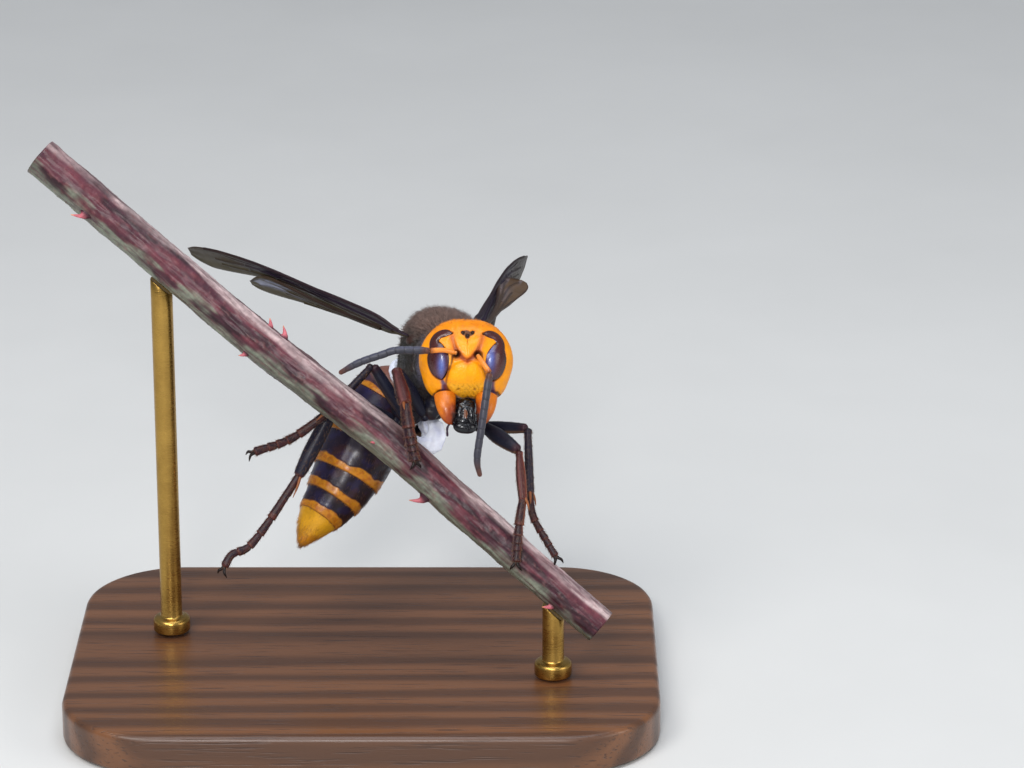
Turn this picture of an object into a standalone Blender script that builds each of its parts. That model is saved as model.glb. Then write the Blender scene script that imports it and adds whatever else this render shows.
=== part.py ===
# Asian giant hornet worker on a short length of bramble cane, held by a plain display stand.
#
# The animal and the cane are drawn in millimetres in a frame of their own, with its zero at the
# middle of the head: X runs to the head's left cheek, Y from the face towards the back, Z up.
# That frame leans back on the stand by CARRIER_LEAN. The stand is drawn straight in the world
# frame, with its zero in the middle of the base's underside.

import math

import bmesh
import bpy
import numpy as np
from mathutils import Matrix, Vector

MM = 0.001

# Frame of the animal on its stand
CARRIER_LEAN = 20.0
CARRIER_PLACE = (10.5, -1.5, 36.0)

# Gaps and grain of the meshes
GAP = 0.3
ROUND_END = 0.12

# Head
HEAD_TURN = 4.0
HEAD_ROLL = 1.5
HEAD_FRONT = 2.5
HEAD_BACK = 2.5
FACE_FLATNESS = 2.3
FACE_EDGE = 0.55
HEAD_SIDES = 36
# Rings of the head as shares of its outline, and for those behind it how far back each lies
HEAD_FRONT_RINGS = (*np.linspace(0.08, 0.9, 12), 0.955, 0.985)
HEAD_BACK_RINGS = ((1.0, 0.1), (0.99, 0.55), (0.94, 1.25), (0.8, 1.95), (0.55, 2.35), (0.3, 2.5))
HEAD_OUTLINE = ((-90, 3.75), (-75, 3.9), (-63, 4.25), (-50, 4.95), (-42, 4.98), (-22, 4.7),
                (6, 4.73), (31, 4.58), (58, 4.35), (90, 4.0))
CLYPEUS_MIDDLE = -1.85
CLYPEUS_HALF_WIDTH = 2.0
CLYPEUS_HALF_HEIGHT = 2.05
CLYPEUS_RISE = 0.6
SOCKET_PLACE = (1.05, 0.5)
SOCKET_RADIUS = 0.75
SOCKET_DEPTH = 0.45
OCELLI_HEIGHT = 2.55
OCELLI_RADIUS = 0.7
OCELLI_RISE = 0.22

# Eye: the middle line of the kidney shape in the front view, with its half width there
EYE_LINE = ((1.55, 2.66, 0.1), (2.25, 2.62, 0.33), (2.95, 2.32, 0.33), (3.3, 1.7, 0.4), (3.1, 1.05, 0.7),
            (2.93, 0.3, 1.0), (2.84, -0.57, 0.97), (2.72, -1.3, 0.72), (2.5, -1.98, 0.12))
EYE_RISE = 0.3
EYE_DEPTH = 0.8
# The pocket round each eye is this much wider and reaches this far out of the face
POCKET_MARGIN = 0.22
POCKET_REACH = 1.5

# Jaws and mouth
JAW_LINE = ((2.25, -1.0, -3.65), (2.05, -1.75, -4.6), (1.85, -2.05, -5.4), (1.65, -2.0, -6.0),
            (1.35, -1.85, -6.45))
JAW_HALF_WIDTHS = (0.75, 0.92, 0.86, 0.66, 0.32)
JAW_FLATNESS = 0.72
MOUTH_LINE = ((0.0, -0.7, -3.9), (0.0, -1.1, -5.1), (0.0, -1.3, -6.3), (0.0, -1.25, -7.05))
MOUTH_HALF_WIDTHS = (0.62, 0.66, 0.95, 0.7)

# Feelers: stalk and whip, from the head's right and left sockets
FEELERS = {
    "right": {"stalk": ((-1.0, -1.75, 0.7), (-2.2, -2.9, 0.95), (-3.55, -3.3, 0.9)),
              "whip": ((-3.55, -3.3, 0.9), (-6.7, -3.6, 0.95), (-8.3, -3.5, 0.5),
                       (-10.6, -3.2, -0.3), (-12.6, -2.6, -1.35))},
    "left": {"stalk": ((1.05, -1.75, 0.55), (1.75, -3.1, -0.35), (2.4, -3.75, -1.3)),
             "whip": ((2.4, -3.75, -1.3), (2.1, -4.2, -3.2), (1.6, -4.3, -6.6),
                      (1.15, -4.1, -9.8), (1.45, -3.7, -11.6))},
}
STALK_RADII = (0.26, 0.27, 0.29)
WHIP_RADIUS = 0.31
WHIP_RINGS = 8
# Share of the full radius at the end and the start of each ring, and along the whole whip
WHIP_BEAD = (1.0, 0.9)
WHIP_TAPER = ((0.0, 0.85), (0.1, 1.0), (0.8, 0.95), (1.0, 0.6))

# Thorax: its axis leaves the neck at this place, turned and dipped from the head's own axis
NECK_PLACE = (-0.25, 3.05, -0.35)
BODY_TURN = 31.0
BODY_DIP = 5.0
# Along the axis: distance, half width, height of the back, depth of the belly
THORAX_STATIONS = ((0, 0.95, 0.9, 0.9), (0.25, 1.9, 1.7, 1.7), (0.9, 3.35, 3.1, 3.0), (1.8, 4.0, 4.2, 3.5),
                   (3.0, 4.35, 5.2, 3.95), (4.4, 4.4, 5.65, 4.25), (5.8, 4.05, 5.55, 4.4),
                   (6.9, 3.5, 5.1, 4.35), (7.6, 3.1, 4.95, 4.2), (8.3, 2.8, 4.4, 4.0), (9.0, 2.5, 3.6, 3.6),
                   (9.9, 2.05, 2.6, 3.0), (10.7, 1.5, 1.6, 2.0), (11.2, 0.85, 0.8, 1.0))
THORAX_SIDES = 28
THORAX_SQUARENESS = 2.25
# Wing-root scales: along the axis, out from it and above it
TEGULA_PLACE = (3.7, 3.75, 2.75)
TEGULA_HALF_LENGTH = 1.0
TEGULA_RADIUS = 0.85

# Abdomen: its middle line with the radius there, and where each ring of it ends along that line
GASTER_LINE = ((-6.15, 12.6, -1.3, 0.5), (-6.6, 13.2, -1.8, 0.62), (-6.9, 13.9, -2.1, 1.6),
               (-7.3, 14.4, -2.6, 2.85), (-8.05, 14.6, -3.5, 3.5), (-9.0, 14.4, -4.9, 3.95),
               (-10.4, 13.9, -7.6, 4.25), (-11.6, 13.4, -10.0, 4.05), (-12.9, 12.9, -12.5, 3.6), (-14.2, 12.4, -14.6, 2.95),
               (-15.4, 11.9, -16.2, 2.25), (-16.4, 11.4, -17.7, 1.35), (-17.2, 11.0, -19.1, 0.3))
GASTER_ENDS = (0.0, 0.2147, 0.4452, 0.6115, 0.7378, 0.8445, 1.0)
GASTER_SIDES = 26
GASTER_FLATNESS = 0.95
# The rings' directions are read over this share of the middle line to both sides, which evens them
GASTER_EASE = 0.04
GASTER_LIP = 0.12

# Legs: the places of hip, trochanter, knee, heel and the foot's bends down to its last pad
LEGS = {
    "front_right": {"hip": (-2.6, 4.0, -3.4), "root": (-4.0, 3.3, -6.0), "knee": (-7.05, 2.2, -0.95),
                    "heel": (-6.0, -0.7, -4.5), "foot": ((-5.65, -0.9, -7.2), (-5.1, -0.65, -10.1))},
    "front_left": {"hip": (0.05, 5.6, -3.4), "root": (1.0, 4.9, -6.2), "knee": (5.3, 1.2, -9.1),
                   "heel": (5.7, 0.4, -14.1), "foot": ((5.3, -0.2, -16.6), (5.0, -0.45, -20.2))},
    "middle_right": {"hip": (-4.9, 7.4, -4.0), "root": (-5.9, 6.8, -6.5), "knee": (-9.5, 5.2, -0.5),
                     "heel": (-14.3, 5.6, -5.5), "foot": ((-17.7, 5.2, -7.9), (-21.5, 4.5, -9.3))},
    "middle_left": {"hip": (-1.85, 9.3, -4.0), "root": (-0.7, 9.0, -6.7), "knee": (6.2, 5.5, -6.9),
                    "heel": (6.4, 4.2, -13.6),
                    "foot": ((6.75, 3.4, -15.8), (7.95, 2.7, -18.0), (9.0, 2.0, -19.75))},
    "hind_right": {"hip": (-6.2, 10.2, -3.6), "root": (-7.0, 9.4, -6.2), "knee": (-13.1, 7.5, -3.8),
                   "heel": (-17.2, 7.0, -11.9), "foot": ((-20.0, 6.5, -16.2), (-22.1, 6.0, -18.9),
                                                         (-23.8, 5.7, -19.7), (-24.6, 5.5, -21.0))},
    "hind_left": {"hip": (-3.7, 11.6, -3.6), "root": (-3.3, 12.8, -6.1), "knee": (-6.8, 18.0, -8.4),
                  "heel": (-5.0, 9.8, -11.7), "foot": ((-3.3, 7.0, -12.6), (-1.3, 4.5, -14.1))},
}
# Radii from the body outwards, by pair of legs
LEG_RADII = {
    "front": {"coxa": (0.95, 1.05, 0.6), "femur": (0.42, 0.6, 0.8, 0.72, 0.48),
              "tibia": (0.4, 0.52, 0.6)},
    "middle": {"coxa": (1.05, 1.15, 0.65), "femur": (0.42, 0.5, 0.62, 0.6, 0.46),
               "tibia": (0.36, 0.42, 0.46)},
    "hind": {"coxa": (1.05, 1.2, 0.7), "femur": (0.45, 0.55, 0.7, 0.66, 0.5),
             "tibia": (0.4, 0.52, 0.55)},
}
LEG_SIDES = 8
TARSUS_RADIUS = 0.32
TARSUS_SIDES = 6
TARSUS_STEPS = 11
TARSUS_ENDS = (0.0, 0.42, 0.58, 0.71, 0.82, 1.0)
TARSUS_WAIST = 0.82
TARSUS_FLARE = 1.15
TARSUS_WIDEN = {"front_right": 1.6, "front_left": 1.25, "middle_right": 1.2, "hind_right": 1.2}
TIBIA_WIDEN = {"hind_right": 1.35, "front_right": 1.12}
# Spurs: how far they start inside the shin, lean out of its line, spread and bend back to it
SPUR_LENGTH = 1.5
SPUR_RADII = (0.17, 0.17, 0.06)
SPUR_SINK = 0.45
SPUR_LEAN = 0.55
SPUR_SPREAD = 0.9
SPUR_BEND = 0.3
# Claws: middle and tip of each, along the foot, to the side and down, as shares of the reach
CLAW_REACH = 0.85
CLAW_RADII = (0.17, 0.17, 0.07)
CLAW_SINK = 0.35
CLAW_MIDDLE = (0.6, 0.45, 0.0)
CLAW_TIP = (0.95, 0.7, 0.55)
CLAW_DOWN = (0.0, 0.6, -0.8)
# Upward hint for the rings of the long limbs, which none of them runs along
LIMB_UP = (0.3, 1.0, 0.1)

# Wings: root, tip, direction from the front edge to the rear edge at the root as the face-on view
# shows it, and how far the forewing and the hindwing turn from that at the tip
WINGS = {
    "right": {"root": (-6.9, 4.9, 2.9), "tip": (-29.35, 20.5, 11.6), "chord": (0.29, -0.61),
              "fore_twist": 0.0, "hind_twist": 0.0, "front_trim": 0.0, "hind_shift": -1.3},
    "left": {"root": (1.3, 9.6, 2.7), "tip": (6.2, 35.8, 11.1), "chord": (0.68, -0.72),
             "fore_twist": 60.0, "hind_twist": -30.0, "front_trim": 0.45, "hind_shift": -0.45},
}
# Along the line from root to tip: distance as a share, front edge and rear edge across it
FOREWING_EDGES = ((0.0, -0.35, 0.35), (0.035, -0.4, 0.4), (0.055, -1.1, 0.5), (0.09, -1.65, 0.57),
                  (0.16, -1.82, 0.53), (0.26, -1.88, 0.4), (0.36, -1.95, 0.25), (0.46, -2.15, 0.2),
                  (0.56, -2.35, 0.1), (0.65, -2.48, 0.15), (0.74, -2.38, 0.7), (0.84, -2.05, 1.4),
                  (0.91, -1.6, 1.7), (0.955, -1.05, 1.35), (0.985, -0.5, 0.7), (1.0, -0.15, 0.3))
HINDWING_EDGES = ((0.04, -0.1, 0.5), (0.1, 0.1, 0.65), (0.17, 0.15, 0.8), (0.27, 0.1, 0.98),
                  (0.37, -0.2, 1.42), (0.47, -0.7, 1.75), (0.55, -1.05, 2.08), (0.6, -0.7, 2.26),
                  (0.64, 0.1, 2.25), (0.665, 0.8, 2.08), (0.68, 1.25, 1.8))
WING_THICKNESS = 0.5
# Share of the full thickness along each wing, and how far the hindwing lies under the forewing
WING_TAPER = ((0.0, 1.0), (0.8, 1.0), (1.0, 0.6))
HINDWING_DROP = 0.95
VEIN_RISE = 0.14
# Half width of a vein's ridge, as a share of the wing's width there
VEIN_SPREAD = 0.09
FOREWING_VEINS = (0.16, 0.5, 0.8)
HINDWING_VEINS = (0.22, 0.66)
WING_ARCH = 0.25

# White marker tied round the waist, with its loose end under the thorax
MARKER_BAND_RADII = (1.25, 1.95)
MARKER_BAND_WIDTH = 1.0
MARKER_BAND_PLACE = (-6.3, 12.75, -1.45)
MARKER_BAND_AXIS = (-0.813, 0.854, -0.687)
MARKER_TURNS = 18
MARKER_TAIL_LINE = ((-5.0, 10.6, -5.9), (-4.3, 8.6, -7.3), (-3.5, 6.9, -7.3), (-3.1, 6.0, -8.2),
                    (-3.2, 5.7, -9.5))
MARKER_TAIL_HALF_WIDTHS = (0.5, 0.6, 1.3, 1.45, 0.85)
MARKER_TAIL_FLATNESS = 0.3

# Bramble cane: its middle line with its radius, and its prickles
CANE_LINE = ((-42.8, 2.0, 20.5, 2.0), (-28.6, 2.1, 8.45, 1.99), (-20.6, 2.1, 1.7, 1.97),
             (-12.0, 2.0, -4.92, 1.93), (-6.15, 2.0, -9.66, 1.95), (4.5, 2.0, -19.1, 1.88),
             (9.2, 2.0, -23.1, 1.86), (13.5, 2.0, -26.8, 1.84))
CANE_SIDES = 15
CANE_STEPS = 20
CANE_RIDGES = 5
CANE_RIDGE_DEPTH = 0.05
CANE_TWIST = 2.5
# Along the cane as a share, turn round it from the top towards the front, length
PRICKLES = ((0.391, 15, 0.65), (0.415, 12, 0.9), (0.388, 165, 0.5), (0.703, 168, 1.2),
            (0.6, 120, 0.7), (0.2, -60, 1.3), (0.55, -100, 1.2), (0.83, -70, 1.3), (0.93, 150, 0.8),
            (0.1, 140, 1.2))
PRICKLE_RADIUS = 0.42
PRICKLE_SINK = 0.5
PRICKLE_SWEEP = 0.85

# Display stand, in the world frame
BASE_SIZE = (60.0, 44.0, 4.0)
BASE_CORNER = 10.0
BASE_EDGE = 0.6
ROD_RADIUS = 1.1
ROD_COLLAR_RADIUS = 1.9
ROD_COLLAR_HEIGHT = 1.6
ROD_COLLAR_EDGE = 0.4
ROD_SHARES = {"high": 0.215, "low": 0.915}
ROD_SIDES = 18

FINISHES = {
    "orange_shell": ((0.85, 0.38, 0.02), 0.35, 0.0),
    "eye_shell": ((0.06, 0.02, 0.015), 0.12, 0.0),
    "dark_shell": ((0.03, 0.018, 0.015), 0.4, 0.0),
    "leg_shell": ((0.06, 0.015, 0.012), 0.35, 0.0),
    "jaw_shell": ((0.6, 0.2, 0.02), 0.3, 0.0),
    "wing_membrane": ((0.12, 0.06, 0.03), 0.3, 0.0),
    "marker_white": ((0.85, 0.87, 0.92), 0.7, 0.0),
    "cane_bark": ((0.2, 0.06, 0.07), 0.5, 0.0),
    "base_wood": ((0.08, 0.04, 0.025), 0.45, 0.0),
    "rod_brass": ((0.7, 0.5, 0.2), 0.3, 1.0),
}


def clear_scene():
    for old in list(bpy.data.objects):
        bpy.data.objects.remove(old)


def make_finishes():
    """One Principled material for each entry of FINISHES, by name."""
    made = {}
    for name, (colour, roughness, metallic) in FINISHES.items():
        material = bpy.data.materials.new(name)
        material.use_nodes = True
        shader = material.node_tree.nodes["Principled BSDF"]
        shader.inputs["Base Color"].default_value = (*colour, 1.0)
        shader.inputs["Roughness"].default_value = roughness
        shader.inputs["Metallic"].default_value = metallic
        made[name] = material
    return made


# Curves

def unit(vector):
    vector = np.asarray(vector, dtype=float)
    return vector / np.linalg.norm(vector)


def smooth_line(points, shares):
    """A Catmull-Rom curve through the points, read at the given shares of its length.

    The points may carry more than three values, such as a radius, and all of them are smoothed.
    """
    points = np.asarray(points, dtype=float)
    padded = np.vstack((2 * points[0] - points[1], points, 2 * points[-1] - points[-2]))
    steps = np.linspace(0, 1, 24, endpoint=False)[:, None]
    runs = []
    for index in range(len(points) - 1):
        a, b, c, d = padded[index:index + 4]
        runs.append(0.5 * (2 * b + (c - a) * steps + (2 * a - 5 * b + 4 * c - d) * steps ** 2
                           + (3 * b - 3 * c + d - a) * steps ** 3))
    fine = np.vstack(runs + [points[-1:]])
    length = np.concatenate(([0.0], np.cumsum(np.linalg.norm(np.diff(fine[:, :3], axis=0), axis=1))))
    length /= length[-1]
    return np.column_stack([np.interp(shares, length, column) for column in fine.T])


def frames_along(path, up):
    """Side and up directions square to the path at each of its points, with no twist from up."""
    tangents = np.gradient(path, axis=0)
    tangents /= np.linalg.norm(tangents, axis=1)[:, None]
    return (tangents, *square_to(tangents, up))


def square_to(tangents, up):
    """Side and up directions square to each tangent."""
    sides = np.cross(tangents, np.asarray(up, dtype=float))
    sides /= np.linalg.norm(sides, axis=1)[:, None]
    tops = np.cross(sides, tangents)
    return sides, tops / np.linalg.norm(tops, axis=1)[:, None]


def rounded_shares(steps):
    """Even steps from end to end, with one more close to each end, where the form rounds off."""
    inner = np.linspace(ROUND_END, 1 - ROUND_END, steps)
    return np.concatenate(([ROUND_END * 0.25], inner, [1 - ROUND_END * 0.25]))


def end_rounding(shares, span):
    """1 along the middle and a quarter circle down to 0 at each end."""
    edge = np.clip(np.minimum(shares, 1 - shares) / span, 0, 1)
    return np.sqrt(1 - (1 - edge) ** 2)


# Meshes

def add_mesh(name, points, faces, finish):
    """A mesh object from points in millimetres, with its faces turned outwards and shaded smooth."""
    mesh = bpy.data.meshes.new(name)
    mesh.from_pydata([tuple(point) for point in points], [], faces)
    shape = bmesh.new()
    shape.from_mesh(mesh)
    bmesh.ops.recalc_face_normals(shape, faces=shape.faces)
    shape.to_mesh(mesh)
    shape.free()
    mesh.shade_smooth()
    mesh.materials.append(finish)
    piece = bpy.data.objects.new(name, mesh)
    bpy.context.collection.objects.link(piece)
    return piece


def closed_skin(name, rings, start, end, finish):
    """One closed body: neighbouring rings joined all round, and each end drawn to one point."""
    rings = np.asarray(rings)
    count, sides = rings.shape[:2]
    points = np.vstack((rings.reshape(-1, 3), start, end))
    first, last = count * sides, count * sides + 1
    faces = []
    for row in range(count - 1):
        for side in range(sides):
            near, far = row * sides, (row + 1) * sides
            after = (side + 1) % sides
            faces.append((near + side, near + after, far + after, far + side))
    for side in range(sides):
        after = (side + 1) % sides
        faces.append((first, side, after))
        faces.append((last, first - sides + after, first - sides + side))
    return add_mesh(name, points, faces, finish)


def limb(name, line, radii, sides, steps, finish, up=(0.0, 0.0, 1.0), flatness=1.0, span=ROUND_END):
    """A round-ended limb along a line, as wide as the radii given evenly along it."""
    shares = rounded_shares(steps)
    path = smooth_line(line, shares)
    ends = smooth_line(line, np.array([0.0, 1.0]))
    radius = np.interp(shares, np.linspace(0, 1, len(radii)), radii) * end_rounding(shares, span)
    _, side, top = frames_along(path, up)
    angles = np.arange(sides) * 2 * math.pi / sides
    rings = (path[:, None, :] + radius[:, None, None] * (np.cos(angles)[None, :, None] * side[:, None, :]
             + flatness * np.sin(angles)[None, :, None] * top[:, None, :]))
    return closed_skin(name, rings, ends[0], ends[1], finish)


def guide_of(piece, distance=GAP):
    """A wire copy of a piece whose surface is moved outwards, kept for cutting its neighbours."""
    guide = bpy.data.objects.new(piece.name + "_guide", piece.data.copy())
    guide.hide_render = True
    guide.display_type = "WIRE"
    shape = bmesh.new()
    shape.from_mesh(guide.data)
    shape.normal_update()
    moved = [vertex.co + vertex.normal * distance for vertex in shape.verts]
    for vertex, place in zip(shape.verts, moved):
        vertex.co = place
    shape.to_mesh(guide.data)
    shape.free()
    bpy.context.collection.objects.link(guide)
    return guide


def keep_largest(piece):
    """Keeps the largest closed surface of a mesh, which drops sealed hollows and loose scraps."""
    shape = bmesh.new()
    shape.from_mesh(piece.data)
    bmesh.ops.remove_doubles(shape, verts=shape.verts, dist=1e-4)
    bmesh.ops.triangulate(shape, faces=shape.faces)
    left = set(shape.faces)
    largest, reach = set(), 0.0
    while left:
        group, edge = set(), {left.pop()}
        while edge:
            group |= edge
            edge = {link for face in edge for line in face.edges for link in line.link_faces} - group
        left -= group
        size = sum(face.calc_area() for face in group)
        if size > reach:
            largest, reach = group, size
    bmesh.ops.delete(shape, geom=[face for face in shape.faces if face not in largest], context="FACES")
    shape.to_mesh(piece.data)
    shape.free()


def combine(piece, others, operation, solver="EXACT"):
    """Joins the others to the piece, or cuts them from it, and removes them."""
    group = bpy.data.collections.new(piece.name + "_others")
    for other in others:
        group.objects.link(other)
    step = piece.modifiers.new("combine", "BOOLEAN")
    step.operation = operation
    step.operand_type = "COLLECTION"
    step.collection = group
    step.solver = solver
    bpy.context.view_layer.update()
    view = bpy.context.evaluated_depsgraph_get()
    mesh = bpy.data.meshes.new_from_object(piece.evaluated_get(view), depsgraph=view)
    piece.modifiers.clear()
    piece.data = mesh
    for other in others:
        bpy.data.objects.remove(other)
    bpy.data.collections.remove(group)
    keep_largest(piece)
    return piece


def cut_clear(piece, *guides):
    """Cuts a piece back from the guides of its neighbours."""
    for guide in guides:
        cutter = guide.copy()
        cutter.data = guide.data.copy()
        combine(piece, [cutter], "DIFFERENCE")
    return piece


def remove_guides():
    for guide in [piece for piece in bpy.data.objects if piece.hide_render]:
        bpy.data.objects.remove(guide)


# Head

def head_radius(x, z):
    """Distance from the middle of the face to the head's outline, in the direction of (x, z)."""
    slopes, radii = np.array(HEAD_OUTLINE).T
    angle = np.degrees(np.arctan2(z, np.maximum(np.abs(x), 1e-9)))
    return np.interp(angle, slopes, radii)


def face_relief(x, z):
    """How far the face stands out: the shield over the mouth, the sockets and the top eyes."""
    shield = 1 - (x / CLYPEUS_HALF_WIDTH) ** 2 - ((z - CLYPEUS_MIDDLE) / CLYPEUS_HALF_HEIGHT) ** 2
    relief = CLYPEUS_RISE * np.sqrt(np.clip(shield, 0, None))
    socket = np.hypot(np.abs(x) - SOCKET_PLACE[0], z - SOCKET_PLACE[1]) / SOCKET_RADIUS
    relief -= SOCKET_DEPTH * np.clip(1 - socket ** 2, 0, None)
    top = np.hypot(x, z - OCELLI_HEIGHT) / OCELLI_RADIUS
    return relief + OCELLI_RISE * np.clip(1 - top ** 2, 0, None)


def face_depth(x, z):
    """Y of the face's surface in front of (x, z), without its relief."""
    share = np.clip(np.hypot(x, z) / head_radius(x, z), 0, 1)
    return -HEAD_FRONT * (1 - share ** FACE_FLATNESS) ** FACE_EDGE


def to_head(piece):
    """Turns a piece of the head from the face's own frame into the animal's."""
    piece.data.transform(Matrix.Rotation(math.radians(HEAD_TURN), 4, "Z")
                         @ Matrix.Rotation(math.radians(HEAD_ROLL), 4, "Y"))
    return piece


def make_head(finish):
    """Rings from the middle of the face out to the head's outline and in again behind it."""
    angles = np.arange(HEAD_SIDES) * 2 * math.pi / HEAD_SIDES
    rings = []
    for share in HEAD_FRONT_RINGS:
        x, z = share * np.cos(angles), share * np.sin(angles)
        radius = head_radius(x, z)
        x, z = x * radius, z * radius
        rings.append(np.column_stack((x, face_depth(x, z) - face_relief(x, z), z)))
    for share, depth in HEAD_BACK_RINGS:
        x, z = share * np.cos(angles), share * np.sin(angles)
        radius = head_radius(x, z)
        rings.append(np.column_stack((x * radius, np.full_like(x, depth), z * radius)))
    front = (0.0, face_depth(0.0, 1e-6) - face_relief(0.0, 0.0), 0.0)
    return to_head(closed_skin("head", rings, front, (0.0, HEAD_BACK, 0.0), finish))


def eye_shape(name, side, widen, rise, depth, finish):
    """A kidney-shaped body along EYE_LINE, from rise in front of the face to depth behind it."""
    shares = np.linspace(0, 1, 12)
    line = smooth_line([(x, 0.0, z, half) for x, z, half in EYE_LINE], shares)
    line, half = line[:, :3], line[:, 3] + widen
    tangents, _, _ = frames_along(line, (0.0, 1.0, 0.0))
    across = np.column_stack((-tangents[:, 2], np.zeros(len(line)), tangents[:, 0]))
    angles = np.arange(12) * 2 * math.pi / 12
    spread = np.sign(np.cos(angles)) * np.abs(np.cos(angles)) ** 0.8
    rings = line[:, None, :] + half[:, None, None] * spread[None, :, None] * across[:, None, :]
    height = np.where(np.sin(angles) > 0, rise, depth) * np.sin(angles)
    rings[:, :, 1] = face_depth(rings[:, :, 0], rings[:, :, 2]) - height[None, :]
    ends = rings[[0, -1]].mean(axis=1) + (line[[0, -1]] - line[[1, -2]]) * (0.2 + widen)
    for points in (rings.reshape(-1, 3), ends):
        points[:, 0] *= side
    return to_head(closed_skin(name, rings, ends[0], ends[1], finish))


def make_eyes(head, finish):
    """Each eye sits in a pocket of the head, with the gap all round it."""
    eyes, pockets = [], []
    for word, side in (("right", -1), ("left", 1)):
        eyes.append(eye_shape("eye_" + word, side, 0.0, EYE_RISE, EYE_DEPTH, finish))
        pockets.append(eye_shape("pocket_" + word, side, POCKET_MARGIN, POCKET_REACH,
                                 EYE_DEPTH + GAP, finish))
    combine(head, pockets, "DIFFERENCE")
    return eyes


def make_jaws(head_guide, finish):
    jaws, guides = [], []
    for word, side in (("right", -1), ("left", 1)):
        line = [(side * x, y, z) for x, y, z in JAW_LINE]
        jaw = limb("mandible_" + word, line, JAW_HALF_WIDTHS, 10, 7, finish,
                   up=(0.0, -1.0, 0.0), flatness=JAW_FLATNESS, span=0.2)
        guides.append(guide_of(to_head(jaw)))
        jaws.append(cut_clear(jaw, head_guide))
    return jaws, guides


def make_mouth(guides, finish):
    mouth = limb("mouthparts", MOUTH_LINE, MOUTH_HALF_WIDTHS, 10, 5, finish,
                 up=(0.0, -1.0, 0.0), flatness=0.9)
    return cut_clear(to_head(mouth), *guides)


def make_feelers(head_guide, jaw_guides, finishes):
    made = []
    for word, lines in FEELERS.items():
        stalk = limb("antenna_stalk_" + word, lines["stalk"], STALK_RADII, 8, 5,
                     finishes["orange_shell"])
        stalk_guide = guide_of(stalk)
        cut_clear(stalk, head_guide)
        beads = np.tile(WHIP_BEAD, WHIP_RINGS)
        taper = np.interp(np.linspace(0, 1, len(beads)), *np.array(WHIP_TAPER).T)
        whip = limb("antenna_whip_" + word, lines["whip"], WHIP_RADIUS * beads * taper, 6, len(beads),
                    finishes["dark_shell"], up=(0.2, 1.0, 0.1), span=0.03)
        cut_clear(whip, stalk_guide, head_guide, *jaw_guides)
        made += [stalk, whip]
    return made


# Thorax

def body_axes():
    """Unit directions of the thorax: towards the tail, towards its right flank and to its back."""
    turn, dip = math.radians(BODY_TURN), math.radians(BODY_DIP)
    tail = np.array((-math.sin(turn) * math.cos(dip), math.cos(turn) * math.cos(dip), -math.sin(dip)))
    flank = np.array((-math.cos(turn), -math.sin(turn), 0.0))
    return tail, flank, np.cross(tail, flank)


def make_thorax(head_guide, finish):
    """Rings round the body axis, taller over the back than under the belly, with both tegulae."""
    tail, flank, back = body_axes()
    neck = np.array(NECK_PLACE)
    angles = np.arange(THORAX_SIDES) * 2 * math.pi / THORAX_SIDES
    power = 2 / THORAX_SQUARENESS
    wide = np.sign(np.cos(angles)) * np.abs(np.cos(angles)) ** power
    tall = np.sign(np.sin(angles)) * np.abs(np.sin(angles)) ** power
    rings = []
    for distance, half_width, height, belly in THORAX_STATIONS:
        rise = np.where(tall > 0, height, belly) * tall
        rings.append(neck + distance * tail + np.outer(wide * half_width, flank) + np.outer(rise, back))
    end = neck + THORAX_STATIONS[-1][0] * tail
    thorax = closed_skin("thorax", rings, neck, end, finish)
    guide = guide_of(thorax)
    cut_clear(thorax, head_guide)
    tegulae = []
    station, out, height = TEGULA_PLACE
    for word, side in (("right", 1), ("left", -1)):
        middle = neck + station * tail + side * out * flank + height * back
        ends = (middle - TEGULA_HALF_LENGTH * tail, middle, middle + TEGULA_HALF_LENGTH * tail)
        tegulae.append(limb("tegula_" + word, ends, (TEGULA_RADIUS,) * 3, 8, 4, finish, span=0.5))
    tegula_guides = [guide_of(tegula) for tegula in tegulae]
    return combine(thorax, tegulae, "UNION"), guide, tegula_guides


# Abdomen

def make_gaster(thorax_guide, finishes):
    """Six rings of the abdomen, each a little wider at its rear lip than the next one starts."""
    length = np.linalg.norm(np.diff(np.array(GASTER_LINE)[:, :3], axis=0), axis=1).sum()
    angles = np.arange(GASTER_SIDES) * 2 * math.pi / GASTER_SIDES
    half_gap = 0.5 * GAP / length
    cuts, parts = list(zip(GASTER_ENDS, GASTER_ENDS[1:])), []
    for number, (start, stop) in enumerate(cuts, start=1):
        first = start + (half_gap if number > 1 else 0.0)
        last = stop - (half_gap if number < len(cuts) else 0.0)
        parts.append(np.linspace(first, last, 7 if number in (1, len(cuts)) else 5))
    every = np.concatenate(parts)
    line = smooth_line(GASTER_LINE, every)
    before = smooth_line(GASTER_LINE, np.clip(every - GASTER_EASE, 0, 1))
    after = smooth_line(GASTER_LINE, np.clip(every + GASTER_EASE, 0, 1))
    sides, tops = square_to(after[:, :3] - before[:, :3], (1.0, 0.3, 0.0))
    made, begin = [], 0
    for number, shares in enumerate(parts, start=1):
        rows = slice(begin, begin + len(shares))
        begin += len(shares)
        swell = GASTER_LIP * np.linspace(-0.5, 1.0, len(shares)) * (number < len(cuts))
        radius = line[rows, 3] + (np.clip(swell, 0, None) if number == 1 else swell)
        round_ring = (np.cos(angles)[None, :, None] * sides[rows, None, :]
                      + GASTER_FLATNESS * np.sin(angles)[None, :, None] * tops[rows, None, :])
        rings = line[rows, None, :3] + radius[:, None, None] * round_ring
        finish = finishes["orange_shell"] if number == len(cuts) else finishes["dark_shell"]
        ends = line[rows][[0, -1], :3]
        made.append(closed_skin("gaster_%d" % number, rings, ends[0], ends[1], finish))
    guides = [guide_of(made[0]), guide_of(made[1])]
    cut_clear(made[0], thorax_guide)
    return made, guides


# Legs

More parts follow.
